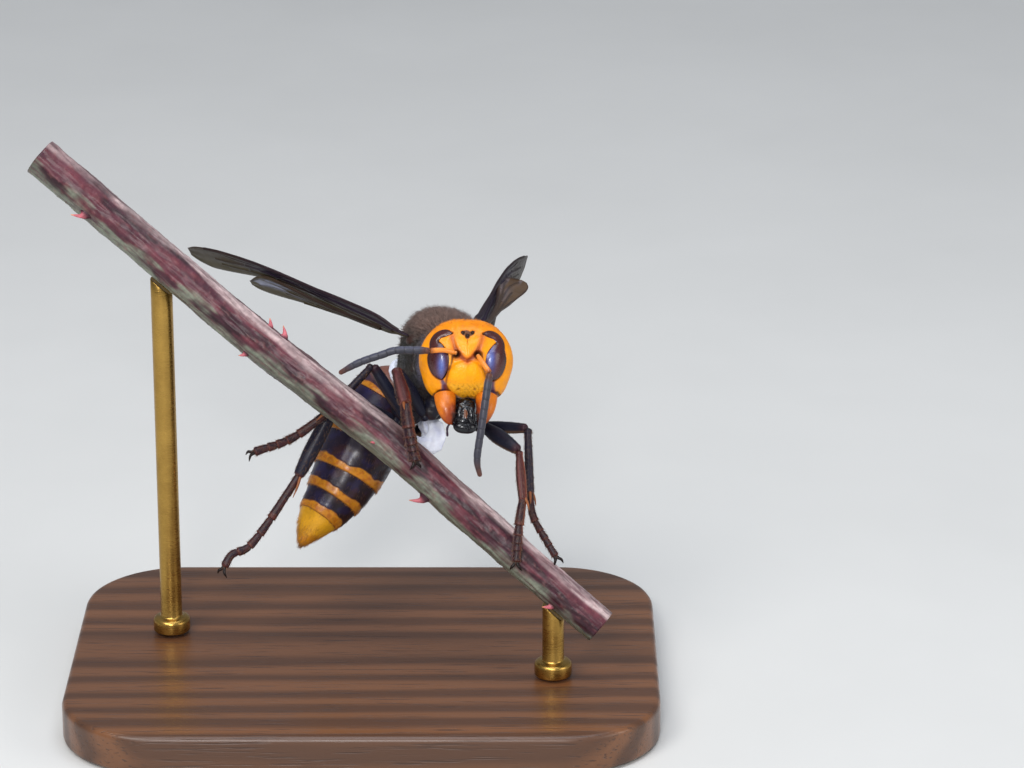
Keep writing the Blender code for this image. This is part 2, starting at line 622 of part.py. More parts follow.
def make_spurs(name, heel, along, sideways, count, finish):
    """Tapered spurs at the end of a shin, leaving it a little outwards."""
    spurs = []
    across = np.cross(along, sideways)
    for index in range(count):
        lean = (index - (count - 1) / 2) * SPUR_SPREAD
        direction = unit(along + SPUR_LEAN * sideways + lean * across)
        bent = unit(direction + SPUR_BEND * along)
        root = heel - SPUR_SINK * along
        line = (root, root + 0.5 * SPUR_LENGTH * direction, root + SPUR_LENGTH * bent)
        spurs.append(limb("%s_spur_%d" % (name, index), line, SPUR_RADII, 5, 3, finish, up=across))
    return spurs


def make_claws(name, toe, along, down, finish):
    """Two hooked claws, spread to both sides of the last joint of a foot."""
    claws = []
    sideways = unit(np.cross(along, down))
    root = toe - CLAW_SINK * along
    for side in (-1, 1):
        bends = np.array((CLAW_MIDDLE, CLAW_TIP)) @ np.array((along, side * sideways, down))
        line = np.vstack((root, root + CLAW_REACH * bends))
        claws.append(limb("%s_claw_%d" % (name, side), line, CLAW_RADII, 5, 3, finish,
                          up=np.cross(sideways, along)))
    return claws


def tarsus_radii(steps):
    """Five joints in a row, each narrow at its root and wide at its end."""
    shares = np.linspace(0, 1, steps)
    joint = np.clip(np.searchsorted(TARSUS_ENDS, shares, side="right") - 1, 0, len(TARSUS_ENDS) - 2)
    starts, stops = np.array(TARSUS_ENDS)[joint], np.array(TARSUS_ENDS)[joint + 1]
    flare = (TARSUS_FLARE - TARSUS_WAIST) * (shares - starts) / (stops - starts)
    return TARSUS_RADIUS * (TARSUS_WAIST + flare)


def make_leg(word, places, thorax_guide, finishes):
    """Coxa, femur with its trochanter, tibia with spurs and tarsus with claws, each cut clear."""
    radii = LEG_RADII[word.split("_")[0]]
    finish = finishes["leg_shell"]
    hip, root, knee, heel = (np.array(places[key]) for key in ("hip", "root", "knee", "heel"))
    foot = [heel] + [np.array(place) for place in places["foot"]]
    coxa = limb("coxa_" + word, (hip, (hip + root) / 2, root), radii["coxa"], LEG_SIDES, 5, finish,
                up=LIMB_UP, span=0.25)
    coxa_guide = guide_of(coxa)
    cut_clear(coxa, thorax_guide)
    femur = limb("femur_" + word, (root, (root + knee) / 2, knee), radii["femur"], LEG_SIDES, 6,
                 finish, up=LIMB_UP)
    femur_guide = guide_of(femur)
    cut_clear(femur, coxa_guide, thorax_guide)
    along = unit(heel - knee)
    out = unit(np.cross(along, np.cross(unit(knee - root), along)))
    tibia = limb("tibia_" + word, (knee, (knee + heel) / 2, heel),
                 np.array(radii["tibia"]) * TIBIA_WIDEN.get(word, 1.0), LEG_SIDES, 5, finish, up=LIMB_UP)
    tibia_guide = guide_of(tibia)
    spurs = make_spurs(tibia.name, heel, along, out, 1 if "front" in word else 2, finish)
    combine(tibia, spurs, "UNION")
    cut_clear(tibia, femur_guide)
    thickness = tarsus_radii(TARSUS_STEPS) * TARSUS_WIDEN.get(word, 1.0)
    tarsus = limb("tarsus_" + word, foot, thickness, TARSUS_SIDES, TARSUS_STEPS,
                  finish, up=LIMB_UP, span=0.05)
    toe_line = unit(foot[-1] - foot[-2])
    combine(tarsus, make_claws(tarsus.name, foot[-1], toe_line, np.array(CLAW_DOWN), finish), "UNION")
    cut_clear(tarsus, tibia_guide)
    return [coxa, femur, tibia, tarsus], [coxa_guide, femur_guide]


# Wings

def wing_axes(place):
    """Unit directions along the wing and across it to the rear edge, at the root."""
    root, tip = np.array(place["root"]), np.array(place["tip"])
    along = unit(tip - root)
    across_x, across_z = place["chord"]
    across_y = -(along[0] * across_x + along[2] * across_z) / along[1]
    return along, unit((across_x, across_y, across_z))


def vein_profile(veins):
    """Shares across the wing with one line on each vein and one on both sides of it."""
    shares = {0.0, 1.0}
    for vein in veins:
        shares |= {vein - VEIN_SPREAD, vein, vein + VEIN_SPREAD}
    return np.array(sorted(shares))


def make_wing(name, place, side, edges, veins, twist, drop, finish, trim=0.0, shift=0.0):
    """A thin vane, turned a little from root to tip, with its veins as ridges on both faces.

    Trim takes that much off the front edge beyond the root, and shift moves the vane across.

    Its underside is the one that the cross product of its two directions gives on the right wing.
    """
    along, across = wing_axes(place)
    root, tip = np.array(place["root"]), np.array(place["tip"])
    share, front, rear = np.array(edges).T
    front = front + shift + trim * np.clip((share - 0.04) / 0.1, 0, 1) * np.clip((1 - share) / 0.05, 0, 1)
    rear = rear + shift
    turn = np.radians(twist * share)[:, None]
    across = across * np.cos(turn) + np.cross(along, across) * np.sin(turn)
    under = side * np.cross(along, across)
    chord = vein_profile(veins)
    ridge = VEIN_RISE * np.isclose(chord[:, None], np.array(veins)[None, :]).any(axis=1)
    taper = np.interp((share - share[0]) / (share[-1] - share[0]), *np.array(WING_TAPER).T)
    width = front[:, None] + (rear - front)[:, None] * chord[None, :]
    spine = root + share[:, None] * (tip - root)
    spine = spine + (drop - WING_ARCH * np.sin(math.pi * share))[:, None] * under
    middle = spine[:, None, :] + width[:, :, None] * across[:, None, :]
    half = ((0.5 * WING_THICKNESS + ridge[None, :]) * taper[:, None])[:, :, None] * under[:, None, :]
    upper, lower = middle + half, middle - half
    rows, columns = width.shape
    points = np.vstack((upper.reshape(-1, 3), lower.reshape(-1, 3)))
    below = rows * columns
    faces = []
    for row in range(rows - 1):
        for column in range(columns - 1):
            a = row * columns + column
            b, c, d = a + 1, a + columns + 1, a + columns
            faces += [(a, b, c), (a, c, d)]
            faces += [(a + below, c + below, b + below), (a + below, d + below, c + below)]
    rim = list(range(columns))
    rim += [row * columns + columns - 1 for row in range(1, rows)]
    rim += [(rows - 1) * columns + column for column in range(columns - 2, -1, -1)]
    rim += [row * columns for row in range(rows - 2, 0, -1)]
    for here, after in zip(rim, rim[1:] + rim[:1]):
        faces += [(here, here + below, after + below), (here, after + below, after)]
    return add_mesh(name, points, faces, finish)


def make_wings(guides, finish):
    made = []
    for word, place in WINGS.items():
        side = 1 if word == "right" else -1
        fore = make_wing("forewing_" + word, place, side, FOREWING_EDGES, FOREWING_VEINS,
                         place["fore_twist"], 0.0, finish, trim=place["front_trim"])
        fore_guide = guide_of(fore)
        cut_clear(fore, *guides)
        hind = make_wing("hindwing_" + word, place, side, HINDWING_EDGES, HINDWING_VEINS,
                         place["hind_twist"], HINDWING_DROP, finish, shift=place["hind_shift"])
        cut_clear(hind, fore_guide, *guides)
        made += [fore, hind]
    return made


# Marker

def make_marker(guides, finish):
    """A band round the waist and a crumpled loose end, cut clear of the animal."""
    middle = np.array(MARKER_BAND_PLACE)
    direction = unit(MARKER_BAND_AXIS)
    side = unit(np.cross(direction, (0.0, 0.0, 1.0)))
    up = np.cross(side, direction)
    inner, outer = MARKER_BAND_RADII
    profile = ((inner, -0.5), (outer, -0.5), (outer, 0.5), (inner, 0.5))
    points, faces = [], []
    for turn in range(MARKER_TURNS):
        angle = 2 * math.pi * turn / MARKER_TURNS
        ray = math.cos(angle) * side + math.sin(angle) * up
        points += [middle + radius * ray + shift * MARKER_BAND_WIDTH * direction for radius, shift in profile]
        for corner in range(4):
            near, far = turn * 4, ((turn + 1) % MARKER_TURNS) * 4
            after = (corner + 1) % 4
            faces.append((near + corner, near + after, far + after, far + corner))
    band = add_mesh("marker_band", points, faces, finish)
    loose = limb("marker_tail", MARKER_TAIL_LINE, MARKER_TAIL_HALF_WIDTHS, 10, 7, finish,
                 up=(-0.5, -0.8, -0.3), flatness=MARKER_TAIL_FLATNESS, span=0.1)
    return [cut_clear(band, *guides), cut_clear(loose, *guides)]


# Cane

def make_cane(finish):
    """A slightly wavy, ridged cane, cut square at both ends, with its prickles fused on."""
    shares = np.linspace(0, 1, CANE_STEPS)
    line = smooth_line(CANE_LINE, shares)
    path, radius = line[:, :3], line[:, 3]
    tangents, side, top = frames_along(path, (0.0, 1.0, 0.0))
    angles = np.arange(CANE_SIDES) * 2 * math.pi / CANE_SIDES
    waves = np.cos(CANE_RIDGES * angles[None, :] + CANE_TWIST * shares[:, None])
    ripple = 1 - CANE_RIDGE_DEPTH * (0.5 + 0.5 * waves)
    rings = path[:, None, :] + (radius[:, None] * ripple)[:, :, None] * (
        np.cos(angles)[None, :, None] * side[:, None, :] + np.sin(angles)[None, :, None] * top[:, None, :])
    cane = closed_skin("perch_cane", rings, path[0], path[-1], finish)
    prickles = []
    for number, (share, turn, length) in enumerate(PRICKLES):
        place = smooth_line(CANE_LINE, np.array([share, share + 0.01]))
        along = unit(place[1, :3] - place[0, :3])
        upwards = unit(np.cross(np.cross(along, (0.0, 0.0, 1.0)), along))
        forwards = unit(np.cross(upwards, along))
        if forwards[1] > 0:
            forwards = -forwards
        angle = math.radians(turn)
        ray = math.cos(angle) * upwards + math.sin(angle) * forwards
        foot = place[0, :3] + (place[0, 3] - PRICKLE_SINK) * ray
        reach = (length + PRICKLE_SINK) * ray
        points = (foot, foot + 0.55 * reach, foot + reach - PRICKLE_SWEEP * length * along)
        radii = (PRICKLE_RADIUS, 0.6 * PRICKLE_RADIUS, 0.05)
        prickles.append(limb("prickle_%d" % number, points, radii, 6, 3, finish, up=along + 0.1, span=0.02))
    return combine(cane, prickles, "UNION")


# Stand

def carrier_matrix():
    return Matrix.Translation(Vector(CARRIER_PLACE)) @ Matrix.Rotation(math.radians(-CARRIER_LEAN), 4, "X")


def under_cane(x, y, axis_point, axis, radius):
    """Height at which the upright line through (x, y) meets the underside of the cane."""
    offset = np.array((x, y, 0.0)) - axis_point
    upright = np.array((0.0, 0.0, 1.0))
    across_offset = offset - offset.dot(axis) * axis
    across_upright = upright - upright.dot(axis) * axis
    a = across_upright.dot(across_upright)
    b = across_upright.dot(across_offset)
    c = across_offset.dot(across_offset) - radius ** 2
    return (-b - math.sqrt(b * b - a * c)) / a


def make_rod(word, share, finish):
    """An upright rod with a collar on the base, whose top follows the underside of the cane."""
    place = smooth_line(CANE_LINE, np.array([share - 0.02, share, share + 0.02]))
    matrix = carrier_matrix()
    before, middle, after = (np.array(matrix @ Vector(point[:3])) for point in place)
    axis = unit(after - before)
    clearance = place[1, 3] + GAP
    floor = BASE_SIZE[2] + GAP
    angles = np.arange(ROD_SIDES) * 2 * math.pi / ROD_SIDES
    rings = []
    profile = ((ROD_COLLAR_RADIUS, 0.0), (ROD_COLLAR_RADIUS, ROD_COLLAR_HEIGHT - ROD_COLLAR_EDGE),
               (ROD_COLLAR_RADIUS - ROD_COLLAR_EDGE, ROD_COLLAR_HEIGHT), (ROD_RADIUS, ROD_COLLAR_HEIGHT))
    for radius, height in profile:
        rings.append(np.column_stack((middle[0] + radius * np.cos(angles),
                                      middle[1] + radius * np.sin(angles),
                                      np.full(ROD_SIDES, floor + height))))
    top = rings[-1].copy()
    top[:, 2] = [under_cane(x, y, middle, axis, clearance) for x, y, _ in top]
    rings.append(top)
    start = (middle[0], middle[1], floor)
    end = (middle[0], middle[1], under_cane(middle[0], middle[1], middle, axis, clearance))
    return closed_skin("stand_rod_" + word, rings, start, end, finish)


def make_base(finish):
    """A flat plate with round corners and a small bevel along its upper edge."""
    length, width, height = BASE_SIZE
    corner_x, corner_y = length / 2 - BASE_CORNER, width / 2 - BASE_CORNER
    outline = []
    for quarter in range(4):
        middle_x = corner_x * (1 if quarter in (0, 3) else -1)
        middle_y = corner_y * (1 if quarter in (0, 1) else -1)
        for step in range(7):
            angle = math.radians(90 * quarter + 15 * step)
            outline.append((middle_x, middle_y, math.cos(angle), math.sin(angle)))
    rings = []
    levels = ((BASE_CORNER, 0.0), (BASE_CORNER, height - BASE_EDGE), (BASE_CORNER - BASE_EDGE, height))
    for radius, level in levels:
        rings.append([(x + radius * cosine, y + radius * sine, level)
                      for x, y, cosine, sine in outline])
    return closed_skin("stand_base", rings, (0.0, 0.0, 0.0), (0.0, 0.0, height), finish)


def to_metres(pieces):
    for piece in pieces:
        piece.data.transform(Matrix.Scale(MM, 4))
        piece.data.update()


def main():
    clear_scene()
    finishes = make_finishes()
    head = make_head(finishes["orange_shell"])
    head_guide = guide_of(head)
    animal = [head] + make_eyes(head, finishes["eye_shell"])
    jaws, jaw_guides = make_jaws(head_guide, finishes["jaw_shell"])
    animal += jaws + [make_mouth([head_guide] + jaw_guides, finishes["dark_shell"])]
    animal += make_feelers(head_guide, jaw_guides, finishes)
    thorax, thorax_guide, tegula_guides = make_thorax(head_guide, finishes["dark_shell"])
    gaster, gaster_guides = make_gaster(thorax_guide, finishes)
    animal += [thorax] + gaster
    leg_guides = []
    for word, places in LEGS.items():
        leg, guides = make_leg(word, places, thorax_guide, finishes)
        animal += leg
        leg_guides += guides
    animal += make_wings([thorax_guide] + tegula_guides, finishes["wing_membrane"])
    animal += make_marker([thorax_guide] + gaster_guides + leg_guides, finishes["marker_white"])
    remove_guides()
    cane = make_cane(finishes["cane_bark"])
    rods = [make_rod(word, share, finishes["rod_brass"]) for word, share in ROD_SHARES.items()]
    base = make_base(finishes["base_wood"])
    to_metres(animal + [cane, base] + rods)
    carrier = bpy.data.objects.new("carrier", None)
    bpy.context.collection.objects.link(carrier)
    matrix = carrier_matrix()
    carrier.matrix_world = Matrix.Translation(matrix.to_translation() * MM) @ matrix.to_3x3().to_4x4()
    for piece in animal + [cane]:
        piece.parent = carrier
    bpy.context.view_layer.update()


main()
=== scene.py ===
import bpy
import numpy as np
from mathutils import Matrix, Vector

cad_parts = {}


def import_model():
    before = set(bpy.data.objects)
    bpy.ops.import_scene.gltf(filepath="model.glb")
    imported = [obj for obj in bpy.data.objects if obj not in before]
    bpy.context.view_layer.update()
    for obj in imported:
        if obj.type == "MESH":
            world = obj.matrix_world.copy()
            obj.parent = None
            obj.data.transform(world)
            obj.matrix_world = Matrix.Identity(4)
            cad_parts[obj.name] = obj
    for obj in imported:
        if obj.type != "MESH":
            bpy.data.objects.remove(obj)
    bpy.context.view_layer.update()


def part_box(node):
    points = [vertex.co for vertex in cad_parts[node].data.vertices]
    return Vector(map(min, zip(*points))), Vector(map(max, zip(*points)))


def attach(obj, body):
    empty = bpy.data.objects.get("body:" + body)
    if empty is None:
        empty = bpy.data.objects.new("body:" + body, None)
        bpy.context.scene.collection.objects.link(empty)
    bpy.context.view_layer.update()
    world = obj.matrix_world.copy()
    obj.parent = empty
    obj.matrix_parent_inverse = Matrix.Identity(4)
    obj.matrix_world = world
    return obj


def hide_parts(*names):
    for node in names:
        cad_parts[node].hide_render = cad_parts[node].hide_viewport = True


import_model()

bl_info = {
    "name": "Hornet on a cane",
    "version": (1, 0, 0),
    "blender": (4, 5, 0),
    "location": "View3D > Sidebar > Hornet",
    "description": "Builds the shells, coat, wings, cane and stand of a giant hornet model",
    "category": "Add Mesh",
}

# Places and sizes of the model, in mm, with the head's middle at zero and the whole leaning 20 degrees.
# MM is the number of them in a metre. A line's fourth value is its half width there.

MM = 1000.0
LEAN = 20.0
CARRIER_PLACE = (10.5, -1.5, 36.0)
HEAD_TURN, HEAD_ROLL = 4.0, 1.5
HEAD_FRONT, FACE_FLATNESS, FACE_EDGE = 2.5, 2.3, 0.55
HEAD_OUTLINE = ((-90, 3.75), (-75, 3.9), (-63, 4.25), (-50, 4.95), (-42, 4.98), (-22, 4.7), (6, 4.73),
                (31, 4.58), (58, 4.35), (90, 4.0))
HEAD_BACK_RINGS = ((1.0, 0.0), (0.995, 0.3), (0.985, 0.65), (0.94, 1.25), (0.8, 1.95), (0.55, 2.35), (0.3, 2.5))
EYE_LINE = ((1.55, 2.66, 0.1), (2.25, 2.62, 0.33), (2.95, 2.32, 0.33), (3.3, 1.7, 0.4), (3.1, 1.05, 0.7),
            (2.93, 0.3, 1.0), (2.84, -0.57, 0.97), (2.72, -1.3, 0.72), (2.5, -1.98, 0.12))
JAW_LINE = ((2.1, -0.95, -3.4), (2.0, -1.75, -4.5), (1.82, -2.05, -5.4), (1.62, -2.0, -6.0),
            (1.32, -1.85, -6.45))
JAW_HALF_WIDTHS = (1.12, 1.06, 0.95, 0.7, 0.3)
MOUTH_LINE = ((0, -0.7, -3.9), (0, -1.1, -5.1), (0, -1.3, -6.3), (0, -1.25, -7.05))
LOBE_LINE = ((0.5, -1.2, -4.2), (0.56, -1.85, -5.0), (0.6, -1.95, -5.8), (0.62, -1.6, -6.4))
CHIN_LINE = ((-1.15, -1.45, -6.4), (-0.5, -1.75, -6.7), (0.45, -1.75, -6.74), (1.1, -1.45, -6.45))
TONGUE_LINE = ((0.0, -1.5, -4.2), (0.0, -1.95, -5.0), (0.02, -2.1, -5.9), (0.0, -2.15, -6.4))
PALP_LINE = ((0.7, -1.2, -5.6), (1.35, -1.3, -6.2), (1.75, -1.3, -6.8), (1.72, -1.2, -7.7))
STALKS = {"right": ((-0.85, -2.3, 0.66), (-2.2, -2.95, 0.95), (-3.55, -3.3, 0.9)),
          "left": ((1.15, -2.3, 0.5), (1.75, -3.1, -0.35), (2.4, -3.75, -1.3))}
WHIPS = {"right": ((-3.55, -3.3, 0.9), (-6.7, -3.6, 0.95), (-8.3, -3.5, 0.5), (-10.6, -3.2, -0.3),
                   (-12.6, -2.6, -1.35)),
         "left": ((2.4, -3.75, -1.3), (2.1, -4.2, -3.2), (1.6, -4.3, -6.6), (1.15, -4.1, -9.8),
                  (1.45, -3.7, -11.6))}
NECK_PLACE = (-0.25, 3.05, -0.35)
BODY_TURN, BODY_DIP = 31.0, 5.0
THORAX_SQUARENESS = 2.25
# For places along the thorax: its half width, its height above the axis and its depth below
THORAX_STATIONS = ((0, 0.95, 0.9, 0.9), (0.25, 1.9, 1.7, 1.7), (0.9, 3.35, 3.1, 3.0), (1.8, 4.0, 4.2, 3.5),
                   (3.0, 4.35, 5.2, 3.95), (4.4, 4.4, 5.65, 4.25), (5.8, 4.05, 5.55, 4.4),
                   (6.9, 3.5, 5.1, 4.35), (7.6, 3.1, 4.95, 4.2), (8.3, 2.8, 4.4, 4.0), (9.0, 2.5, 3.6, 3.6),
                   (9.9, 2.05, 2.6, 3.0), (10.7, 1.5, 1.6, 2.0), (11.2, 0.85, 0.8, 1.0))
TEGULA_PLACE = (3.7, 3.75, 2.75)
GASTER_LINE = ((-6.15, 12.6, -1.3, 0.5), (-6.6, 13.2, -1.8, 0.62), (-6.9, 13.9, -2.1, 1.6),
               (-7.3, 14.4, -2.6, 2.85), (-8.05, 14.6, -3.5, 3.5), (-9.0, 14.4, -4.9, 3.95),
               (-10.4, 13.9, -7.6, 4.25), (-11.6, 13.4, -10.0, 4.05), (-12.9, 12.9, -12.5, 3.6),
               (-14.2, 12.4, -14.6, 2.95), (-15.4, 11.9, -16.2, 2.25), (-16.4, 11.4, -17.7, 1.35),
               (-17.2, 11.0, -19.1, 0.3))
GASTER_ENDS = (0, 0.2147, 0.4452, 0.6115, 0.7378, 0.8445, 1)
# Each leg's hip, thigh's root, knee and heel, and then the line of its foot
LEGS = {
    "front_right": ((-2.6, 4.0, -3.4), (-4.0, 3.3, -6.0), (-7.05, 2.2, -0.95), (-6.0, -0.7, -4.5),
                    (-5.65, -0.9, -7.2), (-5.1, -0.65, -10.1)),
    "front_left": ((0.05, 5.6, -3.4), (1.0, 4.9, -6.2), (5.3, 1.2, -9.1), (5.7, 0.4, -14.1),
                   (5.3, -0.2, -16.6), (5.0, -0.45, -20.2)),
    "middle_right": ((-4.9, 7.4, -4.0), (-5.9, 6.8, -6.5), (-9.5, 5.2, -0.5), (-14.3, 5.6, -5.5),
                     (-17.7, 5.2, -7.9), (-21.5, 4.5, -9.3)),
    "middle_left": ((-1.85, 9.3, -4.0), (-0.7, 9.0, -6.7), (6.2, 5.5, -6.9), (6.4, 4.2, -13.6),
                    (6.75, 3.4, -15.8), (7.95, 2.7, -18.0), (9.0, 2.0, -19.75)),
    "hind_right": ((-6.2, 10.2, -3.6), (-7.0, 9.4, -6.2), (-13.1, 7.5, -3.8), (-17.2, 7.0, -11.9),
                   (-20.0, 6.5, -16.2), (-22.1, 6.0, -18.9), (-23.8, 5.7, -19.7), (-24.6, 5.5, -21.0)),
    "hind_left": ((-3.7, 11.6, -3.6), (-3.3, 12.8, -6.1), (-6.8, 18.0, -8.4), (-5.0, 9.8, -11.7),
                  (-3.3, 7.0, -12.6), (-1.3, 4.5, -14.1)),
}
# Radii along the hip, the thigh and the shin
LEG_RADII = {
    "front": ((0.95, 1.05, 0.6), (0.42, 0.6, 0.8, 0.72, 0.48), (0.4, 0.52, 0.6)),
    "middle": ((1.05, 1.15, 0.65), (0.42, 0.5, 0.62, 0.6, 0.46), (0.36, 0.42, 0.46)),
    "hind": ((1.05, 1.2, 0.7), (0.45, 0.55, 0.7, 0.66, 0.5), (0.4, 0.52, 0.55)),
}
TARSUS_RADIUS = 0.32
TARSUS_ENDS = (0, 0.42, 0.58, 0.71, 0.82, 1)
WINGS = {
    "right": {"root": (-6.9, 4.9, 2.9), "tip": (-29.35, 20.5, 11.6), "chord": (0.29, -0.61),
              "fore_twist": 0.0, "hind_twist": 0.0, "front_trim": 0.0, "hind_shift": -1.3},
    "left": {"root": (1.3, 9.6, 2.7), "tip": (6.2, 35.8, 11.1), "chord": (0.68, -0.72),
             "fore_twist": 60.0, "hind_twist": -30.0, "front_trim": 0.45, "hind_shift": -0.45},
}
# For places along a wing, how far its front and rear edges are from its line
FOREWING_EDGES = ((-0.05, -0.35, 0.3), (-0.02, -0.45, 0.4), (0.02, -0.8, 0.75), (0.05, -1.4, 1.1),
                  (0.09, -1.75, 1.2), (0.16, -1.82, 1.15), (0.26, -1.88, 0.95), (0.36, -1.95, 0.6),
                  (0.46, -2.15, 0.3),
                  (0.56, -2.35, 0.1), (0.65, -2.48, 0.15), (0.74, -2.38, 0.7), (0.84, -2.05, 1.4),
                  (0.91, -1.7, 1.75), (0.955, -1.3, 1.5), (0.985, -0.85, 1.05), (1, -0.35, 0.55))
HINDWING_EDGES = ((0.04, -0.1, 0.5), (0.1, 0.1, 0.65), (0.17, 0.15, 0.8), (0.27, 0.1, 0.98), (0.37, -0.2, 1.42),
                  (0.47, -0.7, 1.75), (0.55, -1.05, 2.08), (0.6, -0.7, 2.26), (0.64, 0.1, 2.25),
                  (0.665, 0.8, 2.08), (0.68, 1.25, 1.8))
HINDWING_DROP, WING_ARCH = 0.95, 0.25
BAND_PLACE, BAND_AXIS, BAND_RADII = (-6.3, 12.75, -1.45), (-0.813, 0.854, -0.687), (1.25, 1.95)
TAIL_LINE = ((-5.0, 10.6, -5.9), (-4.3, 8.6, -7.3), (-3.6, 6.9, -7.2), (-3.6, 6.0, -8.0), (-4.4, 5.7, -9.4))
TAIL_HALF_WIDTHS = (0.5, 0.6, 1.3, 1.75, 0.6)
CANE_LINE = ((-42.8, 2.0, 20.5, 2.0), (-28.6, 2.1, 8.45, 1.99), (-20.6, 2.1, 1.7, 1.97),
             (-12.0, 2.0, -4.92, 1.93), (-6.15, 2.0, -9.66, 1.95), (4.5, 2.0, -19.1, 1.88),
             (9.2, 2.0, -23.1, 1.86), (13.5, 2.0, -26.8, 1.84))
CANE_RIDGES, CANE_TWIST = 5, 2.5
# For each prickle: its share along the cane, its turn from the top in degrees, and how tall it is
PRICKLES = ((0.391, 15, 0.65), (0.415, 12, 0.9), (0.388, 165, 0.5), (0.703, 168, 1.2), (0.6, 120, 0.3),
            (0.2, -60, 1.3), (0.55, -100, 1.2), (0.83, -70, 1.3), (0.93, 150, 0.8), (0.1, 140, 1.2))


def shade(code):
    """A six-letter screen colour as linear red, green and blue."""
    value = np.array([int(code[i:i + 2], 16) / 255 for i in (0, 2, 4)])
    return tuple(float(v) for v in np.where(value <= 0.04045, value / 12.92, ((value + 0.055) / 1.055) ** 2.4))


def colour(label, text, code):
    """A colour to set, with a screen colour as its start."""
    return bpy.props.FloatVectorProperty(name=label, description=text, subtype="COLOR", size=3,
                                         min=0.0, max=1.0, default=shade(code))


def length(label, text, mm, low=0.0, high=10.0):
    """A length to set, given here in mm and kept in metres."""
    return bpy.props.FloatProperty(name=label, description=text + ", in metres", subtype="DISTANCE",
                                   unit="LENGTH", default=mm / MM, min=low / MM, max=high / MM)


def count(label, text, default, high=40000):
    """A number of hairs to set."""
    return bpy.props.IntProperty(name=label, description=text, default=default, min=0, max=high)


class HornetHead(bpy.types.PropertyGroup):
    """Colours and reliefs of the head."""
    face: colour("Face", "Orange-yellow of the face and cheeks", "f0950a")
    brow: colour("Brow plate", "Paler plate between the feelers", "f5981e")
    groove: colour("Grooves", "Reddish brown of the grooves beside the brow plate", "7e3216")
    socket: colour("Sockets", "Dark skin round the feelers' roots", "1d0d0a")
    crown: colour("Crown", "Brown-black ground of the three small eyes", "33150c")
    cheek_stripe: colour("Cheek stripe", "Violet-grey strip under each eye", "4b4468")
    lip: colour("Lip corner", "Maroon skin at the lip's corners", "5a1c1c")
    eye: colour("Eye", "Maroon-brown of the big eyes", "401814")
    # The eye reflection colour is a painted blue reflection of the light, down the middle of each big eye
    eye_bloom: colour("Eye bloom", "Blue bloom down the middle of the big eyes", "5870bc")
    jaw: colour("Jaws", "Orange of the jaws", "cf7012")
    jaw_tip: colour("Jaw edge", "Brown-black of the jaws' cutting edge", "240e0a")
    mouth: colour("Mouth", "Black of the mouth's inside", "0e0c10")
    tongue: colour("Tongue", "Brown of the tongue", "6a3818")
    stalk: colour("Stalks", "Orange of the feelers' stalks", "ea8c34")
    whip: colour("Whips", "Blue-black of the feelers' whips", "34343f")
    whip_tip: colour("Whip ends", "Reddish brown of the whips' ends", "5e3220")
    lip_rise: length("Lip plate rise", "How far the lip plate bulges", 0.38)
    eye_rise: length("Eye rise", "How far the big eyes stand proud of the face", 0.3)
    hairs: count("Face hairs", "Short hairs on the crown, cheeks and lip", 5200)


class HornetBody(bpy.types.PropertyGroup):
    """Colours and coat of the thorax and gaster."""
    thorax: colour("Thorax", "Brown-black of the thorax", "2a2a31")
    shoulder: colour("Shoulder plate", "Grey bloom of the collar plate", "5e5a68")
    scale: colour("Wing scales", "Chestnut of the wing scales", "3a2018")
    pile: colour("Pile", "Dark brown of the thorax's pile", "35332f")
    pile_tip: colour("Pile top", "Paler brown of the pile on the back", "94776c")
    ring: colour("Rings", "Brown-black of the gaster's rings", "20131a")
    band: colour("Bands", "Orange of the bands at the rings' rear edges", "cc821a")
    last: colour("Last ring", "Orange-yellow of the last ring", "e0a01e")
    marker: colour("Marker", "White of the marker round the waist", "eaf0ff")
    thorax_hairs: count("Thorax pile", "Tufts of pile on the thorax", 15000)
    gaster_hairs: count("Gaster hairs", "Fine hairs on the gaster", 5600)
    pile_length: length("Pile length", "Length of the thorax's pile", 0.95)


class HornetLegs(bpy.types.PropertyGroup):
    """Colours and bristles of the legs."""
    dark: colour("Dark parts", "Blue-black of hips and thighs", "181a2a")
    red: colour("Shins", "Reddish brown of the shins", "451a1c")
    foot: colour("Feet", "Brown of the feet", "341a20")
    edge: colour("Foot edges", "Orange of the feet's joints", "7a3a22")
    claw: colour("Claws", "Brown-black of the claws", "1a100e")
    bristles: count("Bristles", "Bristles on each leg", 1500, 4000)


class HornetWings(bpy.types.PropertyGroup):
    """Membrane and veins of the wings."""
    membrane: colour("Membrane", "Smoky brown of the membrane", "3a3012")
    strip: colour("Front strip", "Purple-brown of the folded strip along the front edge", "2e2436")
    pane: colour("Pale panes", "Bluish white of the hindwing's panes", "8a8fa4")
    vein: colour("Veins", "Brown-black of the veins", "1c1012")
    thickness: length("Thickness", "Thickness of the membrane between the veins", 0.12, 0.05, 0.5)
    vein_rise: length("Vein rise", "Height of the veins above the membrane", 0.1, 0.0, 0.3)


class HornetPerch(bpy.types.PropertyGroup):
    """Bark, prickles, base and rods."""
    bark: colour("Bark", "Maroon of the cane's bark", "3e1c28")
    # The lit bark colour is a painted highlight along the cane's upper side, where the bark faces up
    bark_highlight: colour("Lit bark", "Pinkish bloom on the cane's upper side", "cfb9b8")
    bark_under: colour("Bark below", "Grey-green of the cane's lower side", "7a8272")
    blotch: colour("Blotches", "Dark maroon blotches", "220a15")
    pith: colour("Cut ends", "Pale wood of the cane's cut ends", "cbb88e")
    prickle: colour("Prickles", "Pink-red of the prickles", "b8606a")
    wood: colour("Base wood", "Brown of the wooden base", "6b4428")
    wood_dark: colour("Base grain", "Dark lines of the base's grain", "3a2214")
    brass: colour("Brass", "Brass of the rods", "b8934c")
    floor: colour("Floor", "Pale floor of the stage", "d4d4d2")


